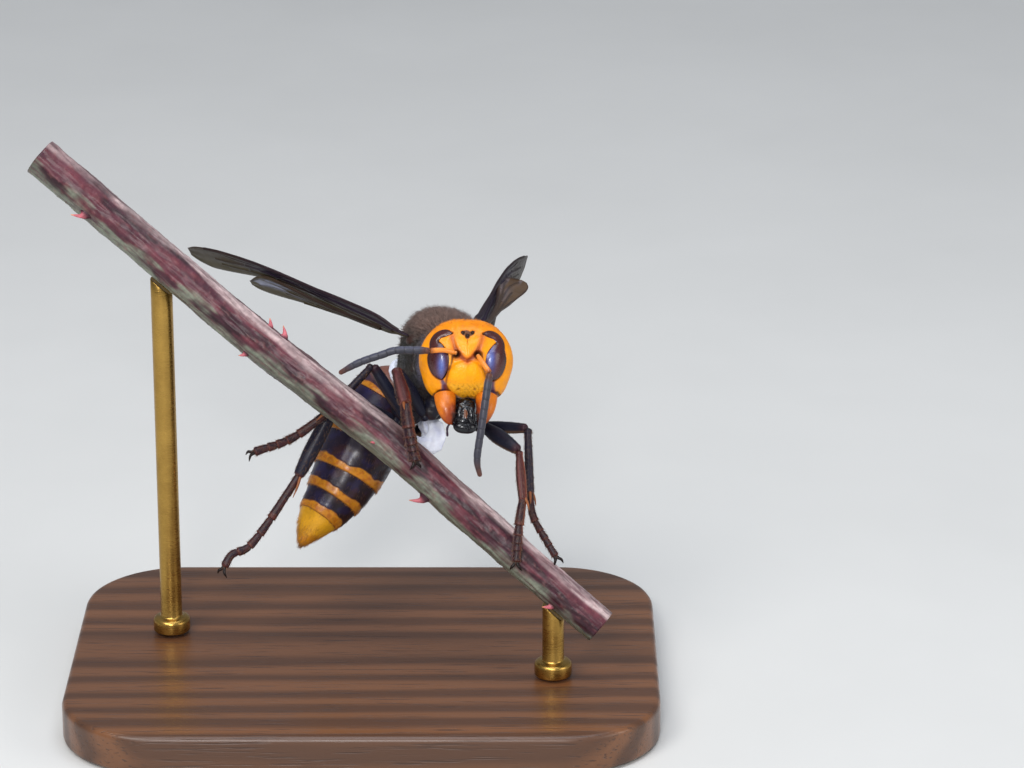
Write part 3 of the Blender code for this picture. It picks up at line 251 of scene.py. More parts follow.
class HornetKit(bpy.types.PropertyGroup):
    """All settings of the model."""
    head: bpy.props.PointerProperty(type=HornetHead)
    body: bpy.props.PointerProperty(type=HornetBody)
    legs: bpy.props.PointerProperty(type=HornetLegs)
    wings: bpy.props.PointerProperty(type=HornetWings)
    perch: bpy.props.PointerProperty(type=HornetPerch)


# Lines, directions and noise

def unit(vectors):
    """Vectors divided by their lengths."""
    vectors = np.asarray(vectors, dtype=float)
    return vectors / np.maximum(np.linalg.norm(vectors, axis=-1, keepdims=True), 1e-12)


def turned(axis, degrees):
    """The matrix that turns a point about one of the three axes."""
    c, s = np.cos(np.radians(degrees)), np.sin(np.radians(degrees))
    return np.array({"x": ((1, 0, 0), (0, c, -s), (0, s, c)),
                     "y": ((c, 0, s), (0, 1, 0), (-s, 0, c)),
                     "z": ((c, -s, 0), (s, c, 0), (0, 0, 1))}[axis])


TILT = turned("x", -LEAN)
HEAD = turned("z", HEAD_TURN) @ turned("y", HEAD_ROLL)


def world(points):
    """Leaning millimetres to the stand's metres: turned back by the lean, then moved to the carrier's place."""
    return (np.asarray(points) @ TILT.T + CARRIER_PLACE) / MM


def upright(points):
    """Points in upright millimetres of the stand, carried back into the leaning frame."""
    return (np.asarray(points, dtype=float) - CARRIER_PLACE) @ TILT


def smooth_line(points, shares):
    """A curve through the points, read at shares of its length; other columns are smoothed too.

    Between two points it is a cubic whose slope at each is half the step from its neighbour to the next.
    """
    points = np.asarray(points, dtype=float)
    padded = np.vstack((2 * points[0] - points[1], points, 2 * points[-1] - points[-2]))
    steps = np.linspace(0, 1, 24, endpoint=False)[:, None]
    runs = []
    for index in range(len(points) - 1):
        a, b, c, d = padded[index:index + 4]
        runs.append(0.5 * (2 * b + (c - a) * steps + (2 * a - 5 * b + 4 * c - d) * steps ** 2
                           + (3 * b - 3 * c + d - a) * steps ** 3))
    fine = np.vstack(runs + [points[-1:]])
    size = np.concatenate(([0.0], np.cumsum(np.linalg.norm(np.diff(fine[:, :3], axis=0), axis=1))))
    return np.column_stack([np.interp(shares, size / size[-1], column) for column in fine.T])


def smooth_rows(table, shares):
    """The rows of a table carried smoothly between them, where the first column is the way along."""
    table = np.asarray(table, dtype=float)
    line = smooth_line(np.column_stack((table[:, 0], np.zeros((len(table), 2)), table[:, 1:])), shares)
    return np.column_stack((line[:, 0], line[:, 3:]))


def smooth_values(values, shares):
    """Values at even steps, carried smoothly between them and read at the shares."""
    return smooth_rows(np.column_stack((np.linspace(0, 1, len(values)), values)), shares)[:, 1]


def circle(sides):
    """Angles once round, evenly spaced."""
    return np.arange(sides) * 2 * np.pi / sides


def squarish(wave, power):
    """A sine or cosine whose size is raised to a power, which squares a round section below one."""
    return np.sign(wave) * np.abs(wave) ** power


def square_to(line, up):
    """Side and top directions square to the line at each of its points."""
    along = unit(np.gradient(line, axis=0))
    side = unit(np.cross(along, np.asarray(up, dtype=float)))
    return side, unit(np.cross(side, along))


def ease(value, low, high):
    """Nought below low, one above high and a smooth step between."""
    share = np.clip((np.asarray(value) - low) / (high - low), 0, 1)
    return share * share * (3 - 2 * share)


def bell(value, width, power=2):
    """One at nought, falling to 1/e where the value is the width."""
    return np.exp(-(value / width) ** power)


def settled(values, reach, spread):
    """Values evened out by a bell over the neighbours within a reach, which the ends lose."""
    kernel = np.exp(-0.5 * (np.arange(-reach, reach + 1) / spread) ** 2)
    return np.convolve(values, kernel / kernel.sum(), "valid")


def tones(colours):
    """Colours as an array, where a text stands for a screen colour."""
    return np.asarray(shade(colours) if isinstance(colours, str) else colours)


def blend(first, second, weight):
    """Two colours, or arrays of them, mixed by a weight for each point."""
    weight = np.asarray(weight)[..., None]
    return tones(first) * (1 - weight) + tones(second) * weight


def layered(ground, *layers):
    """A ground with colours blended over it one after another, each by its own weight."""
    for tone, weight in layers:
        ground = blend(ground, tone, weight)
    return ground


def drift(points, size, seed, octaves=3):
    """Smooth unevenness from about -1 to 1: sine waves in seeded directions, each octave half as long."""
    rng = np.random.default_rng(seed)
    total = np.zeros(points.shape[:-1])
    for octave in range(octaves):
        waves = unit(rng.normal(size=(9, 3))) * rng.uniform(0.7, 1.4, (9, 1)) * 2 * np.pi * 2 ** octave / size
        phases = rng.uniform(0, 2 * np.pi, 9)
        total += np.sin(points @ waves.T + phases).sum(axis=-1) / 3 / 2 ** octave
    return np.clip(total / 1.2, -1, 1)


def inside_by(x, z, outline):
    """Distance in mm from each point to a closed outline, above nought inside it."""
    outline = np.asarray(outline, dtype=float)
    inside = np.zeros(np.shape(x), dtype=bool)
    for (ax, az), (bx, bz) in zip(outline, np.roll(outline, -1, axis=0)):
        if az != bz:
            inside ^= ((az > z) != (bz > z)) & (x < (bx - ax) * (z - az) / (bz - az) + ax)
    nearest = off_line(x, z, np.vstack((outline, outline[:1])))
    return np.where(inside, nearest, -nearest)


def off_line(x, z, line):
    """Distance in mm from each point to an open line of points; a third value widens the line."""
    nearest, line = np.full(np.shape(x), 1e9), np.asarray(line, dtype=float)
    for a, b in zip(line[:-1], line[1:]):
        step = b - a
        share = np.clip(((x - a[0]) * step[0] + (z - a[1]) * step[1]) / (step[0] ** 2 + step[1] ** 2), 0, 1)
        away = np.hypot(x - a[0] - share * step[0], z - a[1] - share * step[1])
        nearest = np.minimum(nearest, away - (a[2] + share * step[2] if len(a) > 2 else 0.0))
    return nearest


# Meshes

# A piece named after a node and one of these words stands in for that node
DRESSES = ("shell", "skin", "lens", "sheet", "strip", "bark", "plate", "turned")


def put(name, corners, faces, finish, paint=None, corner_uv=None):
    """Puts corners in mm and faces (arrays of three or four columns) into a mesh that rides on the root.

    The faces are turned over where the volume that they close comes out below nought.
    """
    material, slot = finish
    corners = np.asarray(corners, dtype=float)
    volume = sum(np.einsum("ij,ij->i", corners[f[:, 0]], np.cross(corners[f[:, k]], corners[f[:, k + 1]])).sum()
                 for f in faces for k in range(1, f.shape[1] - 1))
    if volume < 0:
        faces = [f[:, ::-1] for f in faces]
        corner_uv = None if corner_uv is None else [u[:, ::-1] for u in corner_uv]
    mesh = bpy.data.meshes.new(name)
    mesh.vertices.add(len(corners))
    mesh.vertices.foreach_set("co", world(corners).ravel())
    loops = np.concatenate([f.ravel() for f in faces]).astype(np.int32)
    sizes = np.concatenate([np.full(len(f), f.shape[1]) for f in faces])
    mesh.loops.add(len(loops))
    mesh.loops.foreach_set("vertex_index", loops)
    mesh.polygons.add(len(sizes))
    mesh.polygons.foreach_set("loop_start", np.concatenate(([0], np.cumsum(sizes)[:-1])).astype(np.int32))
    mesh.polygons.foreach_set("use_smooth", np.full(len(sizes), True))
    mesh.update(calc_edges=True)
    if paint is not None:
        layer = mesh.color_attributes.new("paint", "FLOAT_COLOR", "POINT")
        full = np.ones((len(corners), 4))
        full[:, :np.shape(paint)[1]] = paint
        layer.data.foreach_set("color", full.ravel())
    if corner_uv is not None:
        mesh.uv_layers.new(name="OFBake").data.foreach_set("uv", np.concatenate(
            [u.reshape(-1, 2) for u in corner_uv]).ravel())
    mesh.validate()
    piece = bpy.data.objects.new(name, mesh)
    bpy.context.scene.collection.objects.link(piece)
    mesh.materials.append(material)
    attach(piece, "root")
    node, _, word = name.rpartition("_")
    if word in DRESSES:
        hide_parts(node)


def wrap(rings):
    """Corners and faces of a closed skin: rings joined by four-sided faces, and a fan to a pole at each end."""
    rows, sides = rings.shape[:2]
    corners = np.vstack((rings.reshape(-1, rings.shape[2]), rings[[0, -1]].mean(axis=1)))
    here = np.arange(sides)
    after = np.roll(here, -1)
    start = (np.arange(rows - 1) * sides)[:, None]
    walls = np.stack((start + here, start + after, start + sides + after, start + sides + here), axis=-1)
    first = np.column_stack((np.full(sides, rows * sides), after, here))
    last = np.column_stack((np.full(sides, rows * sides + 1), (rows - 1) * sides + here,
                            (rows - 1) * sides + after))
    return corners, [walls.reshape(-1, 4), np.vstack((first, last))]


def shell(rings, paint):
    """A closed skin as corners, faces and paint; the paint is one colour, or one for each ring or point."""
    paint = tones(paint)
    paint = np.broadcast_to(paint, (*rings.shape[:2], paint.shape[-1]))
    corners, faces = wrap(np.concatenate((rings, paint), axis=2))
    return corners[:, :3], faces, corners[:, 3:]


def gather(name, parts, finish):
    """Several shells as one piece."""
    base, faces = 0, []
    for corners, pieces, _ in parts:
        faces += [piece + base for piece in pieces]
        base += len(corners)
    put(name, np.vstack([part[0] for part in parts]), faces, finish, np.vstack([part[2] for part in parts]))


def skin(name, rings, finish, paint=None):
    """One closed skin as a piece."""
    if paint is None:
        put(name, *wrap(rings), finish)
    else:
        gather(name, [shell(rings, paint)], finish)


def rounds(line, wide, high, up, sides=32):
    """Rings square to a line: half widths to the side and to the top, on a round section."""
    side, top = square_to(line, up)
    angles = circle(sides)
    return (line[:, None, :] + (np.asarray(wide)[:, None] * np.cos(angles))[:, :, None] * side[:, None, :]
            + (np.asarray(high)[:, None] * np.sin(angles))[:, :, None] * top[:, None, :])


def capped(steps):
    """Shares from nought to one that crowd together at both ends, for rounding them."""
    return 0.5 * (1 - np.cos(np.linspace(0, np.pi, steps)))


def end_round(shares, span, least=1e-4):
    """Radius factor that closes both ends in a quarter ellipse over a span of the length."""
    near = np.clip(np.minimum(shares, 1 - shares) / span, 0, 1)
    return np.sqrt(np.clip(1 - (1 - near) ** 2, least, 1))


def outward(rings, guide=None):
    """Unit directions square to a grid of rings: away from its middle line, or to the side of a guide."""
    around = np.roll(rings, -1, axis=1) - np.roll(rings, 1, axis=1)
    square = unit(np.cross(around, np.gradient(rings, axis=0)))
    if guide is not None:
        return square * np.sign((square * guide).sum(axis=-1, keepdims=True) + 1e-12)
    middle = rings.mean(axis=1, keepdims=True)
    return square * (np.sign(((rings - middle) * square).sum(axis=-1, keepdims=True).mean()) or 1.0)


def raised(rings, relief, out=None):
    """Rings moved by a relief in mm along their outward directions."""
    return rings + relief[..., None] * (outward(rings) if out is None else out)


# Coat

HEAD_SEED, THORAX_SEED, GASTER_SEED, LEG_SEED = 21, 40, 100, 200


def seeded(rings, amount, seed, weight):
    """Places spread over a grid of rings: cells drawn by area times weight, then a place inside each cell."""
    rng = np.random.default_rng(seed)
    after = np.roll(rings, -1, axis=1)
    area = np.linalg.norm(np.cross(after[:-1] - rings[:-1], rings[1:] - rings[:-1]), axis=-1)
    chance = area * weight[:-1]
    cells = rng.choice(chance.size, amount, p=(chance / chance.sum()).ravel())
    row, side = np.unravel_index(cells, chance.shape)
    return row, side, rng.random(amount), rng.random(amount), rng


def read_cells(grid, places):
    """A grid's values at places inside its cells, mixed between the four corners."""
    row, side, down, across = places[:4]
    after = (side + 1) % grid.shape[1]
    down, across = down[:, None], across[:, None]
    return ((grid[row, side] * (1 - across) + grid[row, after] * across) * (1 - down)
            + (grid[row + 1, side] * (1 - across) + grid[row + 1, after] * across) * down)


TUFT_SPREAD, TUFT_LENGTHS, TUFT_GIRTHS = 0.16, (0.75, 1.2), (0.8, 1.2)
TUFT_WAIST, TUFT_TOP, WAIST_GIRTH, ROOT_SHADE = 0.55, 0.45, 0.72, 0.72
MAP_MARGIN, MAP_SHARE, MAP_SPREAD = 0.002, 0.996, 0.0015


def tufts(name, rings, places, out, lie, size, width, rise, curl, paint, finish, sink=0.04):
    """Slender three-sided spikes: three corners at the root, three at half length and a tip.

    Each leaves the skin along rise times outward plus the lie, and bends towards the lie by curl.
    Its patch on the map stands at its root's row and turn on the skin's own grid.
    """
    row, side, down, across, rng = places
    amount = len(row)
    out = unit(read_cells(out, places))
    lie = np.broadcast_to(lie, out.shape)
    lie = unit(lie - (lie * out).sum(axis=1, keepdims=True) * out + rng.normal(0, TUFT_SPREAD, out.shape))
    first = unit(rise * out + lie)
    second = unit(first + curl * (lie - 0.25 * out))
    girth = unit(np.cross(first, out + 0.01))
    other = np.cross(first, girth)
    size = np.reshape(size, (-1, 1)) * rng.uniform(*TUFT_LENGTHS, (amount, 1))
    half = (width * 0.5 * rng.uniform(*TUFT_GIRTHS, (amount, 1)))[:, None]
    turns = circle(3)
    ring = np.cos(turns)[None, :, None] * girth[:, None, :] + np.sin(turns)[None, :, None] * other[:, None, :]
    foot = read_cells(rings, places) - sink * out
    waist = foot + TUFT_WAIST * size * first
    tip = waist + TUFT_TOP * size * second
    corners = np.concatenate((foot[:, None] + half * ring, waist[:, None] + WAIST_GIRTH * half * ring,
                              tip[:, None]), axis=1)
    base = (np.arange(amount) * 7)[:, None]
    turn, after = np.array((0, 1, 2)), np.array((1, 2, 0))
    walls = np.stack([base + turn, base + after, base + after + 3, base + turn + 3], axis=-1).reshape(-1, 4)
    points = np.stack([base + turn + 3, base + after + 3, np.broadcast_to(base + 6, (amount, 3))],
                      axis=-1).reshape(-1, 3)
    floor = np.concatenate([base + 2, base + 1, base], axis=1)
    place = np.column_stack(((side + across) / rings.shape[1], (row + down) / (rings.shape[0] - 1)))
    place = MAP_MARGIN + MAP_SHARE * place
    spread = MAP_SPREAD * np.column_stack((np.cos(turns), np.sin(turns)))
    spots = (place[:, None, :] + np.vstack((spread, 0.5 * spread, (0, 0)))).reshape(-1, 2)
    colours = np.repeat(paint[:, None, :], 7, axis=1)
    colours[:, :3] *= ROOT_SHADE
    put(name, corners.reshape(-1, 3), [walls, points, floor], finish, colours.reshape(-1, 3),
        [spots[walls], spots[points], spots[floor]])


# Finishes

def feed(node, **inputs):
    """A node whose inputs take fixed values, or links where a value is another node's socket."""
    for key, value in inputs.items():
        socket = node.inputs[key.replace("_", " ")]
        if isinstance(value, bpy.types.NodeSocket):
            node.id_data.links.new(value, socket)
        else:
            socket.default_value = value
    return node


def add(tree, kind, settings=None, **inputs):
    """A new node with its settings and its inputs."""
    made = tree.nodes.new("ShaderNode" + kind)
    for key, value in (settings or {}).items():
        setattr(made, key, value)
    return feed(made, **inputs)


def mixed(tree, weight, first, second, way="MIX"):
    """The colour between two colours, each a socket or a fixed value."""
    made = tree.nodes.new("ShaderNodeMix")
    made.data_type, made.blend_type = "RGBA", way
    for slot_number, value in ((0, weight), (6, first), (7, second)):
        if isinstance(value, bpy.types.NodeSocket):
            tree.links.new(value, made.inputs[slot_number])
        else:
            made.inputs[slot_number].default_value = (*value, 1.0) if slot_number else value
    return made.outputs[2]


def times(tree, ground, *patterns):
    """A colour multiplied by one pattern after another."""
    for pattern in patterns:
        ground = mixed(tree, 1.0, ground, pattern, "MULTIPLY")
    return ground


def ranged(tree, value, low, high, to_low, to_high):
    """A value carried from one range to another and kept inside it."""
    return add(tree, "MapRange", None, Value=value, From_Min=low, From_Max=high, To_Min=to_low,
               To_Max=to_high).outputs["Result"]


def swing(tree, pattern, low, high):
    """A noise pattern carried from 0.3 to 0.7, where most of it lies, to the range given."""
    return ranged(tree, pattern, 0.3, 0.7, low, high)


def placed(tree, where, **inputs):
    """Coordinates moved, turned or stretched."""
    return add(tree, "Mapping", None, Vector=where, **inputs).outputs["Vector"]


def noise(tree, where, size, detail=3.0, rough=0.55):
    """Noise whose patches are about size mm wide."""
    return add(tree, "TexNoise", None, Vector=where, Scale=MM / size, Detail=detail,
               Roughness=rough).outputs["Fac"]


def new_finish(name):
    """A material with its node tree, its principled shader and object coordinates."""
    material = bpy.data.materials.new(name)
    material.use_nodes = True
    tree = material.node_tree
    shader = next(n for n in tree.nodes if n.type == "BSDF_PRINCIPLED")
    return material, tree, shader, add(tree, "TexCoord").outputs["Object"]


def painted(tree, channel="Color"):
    """The paint that each corner of a piece carries."""
    return add(tree, "Attribute", {"attribute_name": "paint"}).outputs[channel]


def dent(tree, shader, height, depth, before=None):
    """A bump of the given depth in mm, on top of the one before."""
    made = add(tree, "Bump", None, Height=height, Strength=1.0, Distance=depth / MM)
    if before is not None:
        feed(made, Normal=before)
    feed(shader, Normal=made.outputs["Normal"])
    return made.outputs["Normal"]


def horn_finish(name, rough=(0.28, 0.45), coat=0.0, coat_rough=0.12, mottle=(0.7, 0.16), pits=(0.2, 0.02),
                grain=(0.06, 0.006), sheen=0.0, coat_tint=(1, 1, 1), level=0.3):
    """Horn: the piece's paint in soft patches, punctures as small dents, fine wrinkles and uneven gloss."""
    material, tree, shader, where = new_finish(name)
    patch, share = mottle
    shades = swing(tree, noise(tree, where, patch, 4.0), 1 - share, 1 + 0.6 * share)
    speck = ranged(tree, noise(tree, where, patch * 0.16, 2.0), 0.35, 0.65, 1 - 0.5 * share, 1.0)
    cells = add(tree, "TexVoronoi", None, Vector=where, Scale=MM / pits[0]).outputs["Distance"]
    bowls = dent(tree, shader, ranged(tree, cells, 0.0, 0.42, 0.0, 1.0), pits[1])
    dent(tree, shader, noise(tree, where, grain[0], 3.0), grain[1], bowls)
    feed(shader, Base_Color=times(tree, painted(tree), shades, speck),
         Roughness=swing(tree, noise(tree, where, patch * 0.5, 3.0), *rough), Coat_Weight=coat,
         Coat_Roughness=coat_rough, Coat_Tint=(*coat_tint, 1.0), Sheen_Weight=sheen, Sheen_Roughness=0.4,
         Specular_IOR_Level=level)
    return material, name


def hair_finish(name, slot, rough=(0.45, 0.65), sheen=0.1):
    """Pile: the coat's paint, a little uneven from tuft to tuft."""
    material, tree, shader, where = new_finish(name)
    feed(shader, Base_Color=times(tree, painted(tree), swing(tree, noise(tree, where, 0.5, 3.0), 0.7, 1.25)),
         Roughness=swing(tree, noise(tree, where, 0.3), *rough), Sheen_Weight=sheen, Specular_IOR_Level=0.35)
    return material, slot


def eye_finish():
    """Eye: maroon under a clear wet coat, with six-sided facets as the finest dents."""
    material, tree, shader, where = new_finish("eye_facets")
    cells = add(tree, "TexVoronoi", {"feature": "DISTANCE_TO_EDGE"}, Vector=where, Scale=MM / 0.055)
    dent(tree, shader, ranged(tree, cells.outputs["Distance"], 0.0, 0.2, 0.0, 1.0), 0.0015)
    feed(shader, Base_Color=times(tree, painted(tree), swing(tree, noise(tree, where, 0.9, 3.0), 0.75, 1.2)),
         Roughness=swing(tree, noise(tree, where, 0.35), 0.2, 0.34), Coat_Weight=0.4, Coat_Roughness=0.16,
         Specular_IOR_Level=0.35)
    return material, "eye_shell"


# Head

def head_reach(angles):
    """The head's outline as a distance for each angle from the right-hand side, rounded over a few degrees."""
    turns = np.radians(np.arange(-180, 180))
    sharp = np.interp(np.degrees(np.arctan2(np.sin(turns), np.abs(np.cos(turns)))), *np.array(HEAD_OUTLINE).T)
    soft = settled(np.concatenate((sharp[-12:], sharp, sharp[:12])), 12, 4.0)
    return np.interp(np.degrees(angles), np.arange(-180, 181), np.append(soft, soft[0]))


def head_share(points):
    """How far from the head's middle line points in its own frame are, as a share of its outline there."""
    return np.hypot(points[..., 0], points[..., 2]) / head_reach(np.arctan2(points[..., 2], points[..., 0]))


def face_depth(share):
    """Depth of the plain face: 2.5 times one minus the share of the outline to 2.3, to the power 0.55."""
    return -HEAD_FRONT * np.clip(1 - share ** FACE_FLATNESS, 0, 1) ** FACE_EDGE


def off_eye(x, z):
    """Distance in mm from the edge of the nearer eye, below nought inside it."""
    line = smooth_line([(a, b, 0, h) for a, b, h in EYE_LINE], np.linspace(0, 1, 40))
    return off_line(np.abs(x), z, line[:, (0, 1, 3)])


LIP_PLATE = ((-0.55, -0.05), (0.1, 0.02), (0.7, -0.05), (1.39, -0.39), (1.83, -1.08), (2.0, -1.83),
             (1.95, -2.58), (1.7, -3.33), (1.3, -3.83), (0.7, -3.88), (0.2, -3.68), (-0.2, -3.86),
             (-0.7, -3.85), (-1.24, -3.45), (-1.68, -3.0), (-1.93, -2.45), (-1.9, -1.95), (-1.68, -1.08),
             (-1.18, -0.33))
BROW_PLATE = ((-1.3, 2.3), (-0.6, 2.0), (0.15, 1.75), (0.9, 2.0), (1.6, 2.3), (1.32, 1.4), (1.08, 0.8),
              (0.6, 0.25), (0.16, -0.1), (-0.3, 0.25), (-0.78, 0.8), (-1.02, 1.4))
GROOVES = (((-1.38, 2.35, 0.04), (-1.12, 1.4, 0.06), (-0.86, 0.75, 0.1), (-0.34, 0.2, 0.06),
            (0.12, -0.1, 0.02)),
           ((1.7, 2.35, 0.04), (1.42, 1.4, 0.06), (1.16, 0.75, 0.1), (0.64, 0.2, 0.06), (0.2, -0.1, 0.02)))
SOCKETS = ((-0.95, 0.55), (1.26, 0.5))
CROWN = ((-0.5, 2.86), (0.2, 2.95), (0.9, 2.86), (0.62, 2.45), (0.18, 2.05), (-0.26, 2.45))
SMALL_EYES = ((-0.3, 2.74), (0.68, 2.74), (0.18, 2.42))
CHEEK_STRIPES = (((-2.43, -1.9, 0.02), (-2.2, -2.45, 0.1), (-2.24, -3.2, 0.1)),
                 ((2.76, -1.9, 0.02), (2.62, -2.6, 0.1), (2.75, -3.3, 0.1)))
CHEEK_LINES = (((-2.05, -3.1, 0.06), (-2.75, -3.2, 0.1), (-3.45, -3.85, 0.04)),
               ((2.5, -3.2, 0.06), (3.1, -3.35, 0.1), (3.6, -3.85, 0.04)))
LIP_CORNERS = (((-2.1, -2.6), (-1.85, -3.15), (-1.5, -3.5), (-1.2, -3.95)),
               ((2.3, -2.7), (2.1, -3.2), (1.8, -3.6), (1.5, -4.0)))
EYE_CREASES = (((-1.3, 0.35), (-1.42, -0.3), (-1.75, -1.0)), ((1.6, 0.3), (1.72, -0.35), (1.98, -1.0)))
LIP_PITS = ((-0.75, -2.75), (0.9, -2.75))
# Strokes on the face: lines, wobble, rise in mm and its width, colour and its strength, width and power
STROKES = ((CHEEK_LINES, 0.03, -0.08, 0.1, "3a140c", 0.9, 0.11, 2),
           (CHEEK_STRIPES, 0, -0.07, 0.13, "cheek_stripe", 0.92, 0.15, 2),
           (LIP_CORNERS, 0, 0.06, 0.2, "lip", 0.9, 0.2, 4),
           (EYE_CREASES, 0, -0.08, 0.1, "3c1612", 0.85, 0.11, 2))


def face_work(picture, x, z, head):
    """Relief in mm and paint of the face, from the distances to each plate, groove and pit."""
    px, pz = picture[..., 0], picture[..., 2]
    lip, plate, crown = (inside_by(px, pz, outline) for outline in (LIP_PLATE, BROW_PLATE, CROWN))
    dome = np.clip(1 - ((px - 0.05) / 2.1) ** 2 - ((pz + 1.75) / 2.3) ** 2, 0, 1) * ease(lip, -0.05, 0.25)
    lower = ease(lip, 0.0, 0.12) * ease(-pz, 2.0, 2.5) * (1 - ease(-pz, 3.4, 3.8))
    pebbles = drift(picture, 0.34, 11, 2)
    rim = bell(lip - 0.09, 0.07) * ease(-pz, 3.0, 3.6)
    relief = (0.02 * drift(picture, 1.1, 3) + head.lip_rise * MM * (0.3 * ease(lip, -0.05, 0.4) + 0.9 * dome)
              - 0.06 * bell(lip, 0.08) * ease(-pz, 0.1, 0.8) - 0.035 * lower * ease(pebbles, 0.1, 0.7)
              + 0.07 * rim)
    paint = layered(
        head.face, ("e07a10", 0.5 * ease(pz, 1.2, 3.6) + 0.12 * drift(picture, 2.5, 4)),
        ("f49c08", 0.4 * ease(-pz, -0.5, 2.5) * ease(np.abs(px - 0.2), 1.8, 3.5)),
        ("f4a20a", ease(lip, 0.1, 0.7) * 0.8), ("5a240e", 0.8 * (bell(lip + 0.04, 0.12) * ease(-pz, 0.3, 1.0))),
        ("e8ac2c", 0.6 * lower), ("b07818", 0.45 * lower * ease(pebbles, 0.15, 0.8)), ("521c0a", 0.8 * rim))
    for cx, cz in LIP_PITS:
        pit = bell(np.hypot(px - cx, pz - cz), 0.12)
        relief -= 0.09 * pit
        paint = blend(paint, "7a3f16", 0.7 * pit)
    relief += 0.1 * ease(plate, -0.1, 0.4)
    relief -= 0.05 * bell(px - 0.2, 0.05) * ease(pz, 0.5, 1.2) * (1 - ease(pz, 1.6, 2.1))
    paint = blend(paint, head.brow, ease(plate, -0.05, 0.15) * 0.85)
    deep = 0.3 + 0.7 * ease(-pz, -1.9, -0.7)
    for line in GROOVES:
        away = np.clip(off_line(px, pz, line), 0, None)
        relief -= 0.1 * deep * bell(away, 0.14)
        paint = layered(paint, ("c4602a", 0.75 * bell(away, 0.3)), (head.groove, 0.9 * deep * bell(away, 0.14)))
    for cx, cz in SOCKETS:
        away = np.hypot(px - cx, pz - cz)
        relief += 0.06 * bell(away - 0.5, 0.09) - 0.36 * bell(away, 0.34)
        paint = layered(paint, (head.groove, 0.7 * bell(away, 0.55, 4)), (head.socket, bell(away, 0.42, 4)))
    parting = bell(px - 0.18, 0.05) * ease(pz, 1.3, 1.8) * (1 - ease(pz, 2.3, 2.6))
    paint = layered(paint, ("8a3a08", 0.6 * parting),
                    (head.crown, 0.9 * ease(crown + 0.07 * drift(picture, 0.5, 6), -0.08, 0.1)))
    for cx, cz in SMALL_EYES:
        away = np.hypot(px - cx, pz - cz)
        relief += 0.12 * np.sqrt(np.clip(1 - (away / 0.17) ** 2, 0, 1)) - 0.04 * bell(away - 0.22, 0.05)
        paint = blend(paint, "1d0a08", 0.95 * (1 - ease(away, 0.16, 0.25)))
    wobble = drift(picture, 0.6, 8)
    for lines, sway, rise, width, tone, strength, tone_width, power in STROKES:
        for line in lines:
            away = np.clip(off_line(px, pz, line) + sway * wobble, 0, None)
            relief += rise * bell(away, width)
            paint = blend(paint, getattr(head, tone, tone), strength * bell(away, tone_width, power))
    eye = off_eye(x, z)
    relief -= 0.5 * ease(-eye, -0.05, 0.2)
    sliver = off_line(px, pz, ((-1.6, 0.75), (-1.62, -0.45)))
    return relief, layered(paint, ("f2b84a", 0.8 * bell(sliver, 0.1)),
                           ("8a3a14", 0.55 * bell(np.clip(eye, 0, None), 0.07)),
                           (head.socket, ease(-eye, 0.0, 0.1)))


HEAD_SIDES, FACE_RINGS, BACK_RINGS = 336, 157, 43


def head_rings():
    """Rings from the face's middle over the rim to the back: shares of the outline, and depths."""
    angles = circle(HEAD_SIDES)
    front = 1 - (1 - np.linspace(0, 1, FACE_RINGS + 1)[1:]) ** 1.75
    back = smooth_line([(s, y, 0) for s, y in HEAD_BACK_RINGS], np.linspace(0, 1, BACK_RINGS + 1)[1:])
    reach = head_reach(np.where(angles > np.pi, angles - 2 * np.pi, angles))
    share = np.concatenate((front, back[:, 0]))[:, None]
    depth = np.concatenate((face_depth(front), back[:, 1]))[:, None]
    return np.stack(np.broadcast_arrays(share * reach * np.cos(angles), depth, share * reach * np.sin(angles)),
                    axis=-1)


def build_head(kit):
    """The head's shell with all plates, grooves, pockets and small eyes worked into one skin."""
    head, rings = kit.head, head_rings()
    picture = rings @ HEAD.T
    out = unit(outward(rings) + 1e-9)
    out[:FACE_RINGS] *= np.sign(-(out[:FACE_RINGS, :, 1:2]).mean())
    x, y, z = rings[..., 0], rings[..., 1], rings[..., 2]
    relief, paint = face_work(picture, x, z, head)
    fade = np.concatenate((1 - ease(np.arange(FACE_RINGS) / FACE_RINGS, 0.92, 1.0), np.zeros(BACK_RINGS)))
    rear = layered(head.face, ("c86406", 0.6 * ease(y, 0.4, 1.8)),
                   ("3a1a10", ease(y + 0.25 * drift(picture, 1.6, 9), 1.7, 2.3)))
    paint = blend(paint, rear, ease(y, -0.2, 0.25))
    shaped = raised(rings, relief * fade[:, None], out) @ HEAD.T
    finish = horn_finish("head_shell", (0.32, 0.46), 0.14, 0.2, (0.9, 0.1), (0.19, 0.009), (0.07, 0.003),
                         level=0.2)
    skin("head_skin", shaped, finish, paint)
    weight = (np.abs(relief) < 0.4) * (off_eye(x, z) > 0.12) * 1.0
    weight *= 0.35 + 0.9 * ease(picture[..., 2], 1.8, 3.4) + 0.7 * ease(y, -0.6, 0.5)
    weight[:3] = 0
    places = seeded(shaped, head.hairs, HEAD_SEED, weight)
    top = read_cells(picture, places)[:, 2]
    tufts("head_coat", shaped, places, outward(shaped, out @ HEAD.T), (0.0, 0.35, -0.9),
          0.16 + 0.14 * ease(top, 2.4, 3.8), 0.03, 0.4, 0.5, blend(read_cells(paint, places), "a06a20", 0.3),
          hair_finish("head_hair", "head_shell"))


HANDS = (("right", -1), ("left", 1))
# Middle of the painted blue reflection on each big eye, then its half width and half height, in mm
REFLECTION_PLACES = {"right": (-2.42, -0.55), "left": (2.52, 0.1)}
REFLECTION_HALF_WIDTH, REFLECTION_HALF_HEIGHT = 0.36, 1.1
EYE_ROWS, EYE_SIDES, JAW_ROWS, JAW_SIDES, MOUTH_ROWS = 130, 72, 110, 64, 90
JAW_TEETH, JAW_FLATNESS, PALP_JOINTS = (0.7, 0.82, 0.93), 0.72, (0.3, 0.55, 0.78)


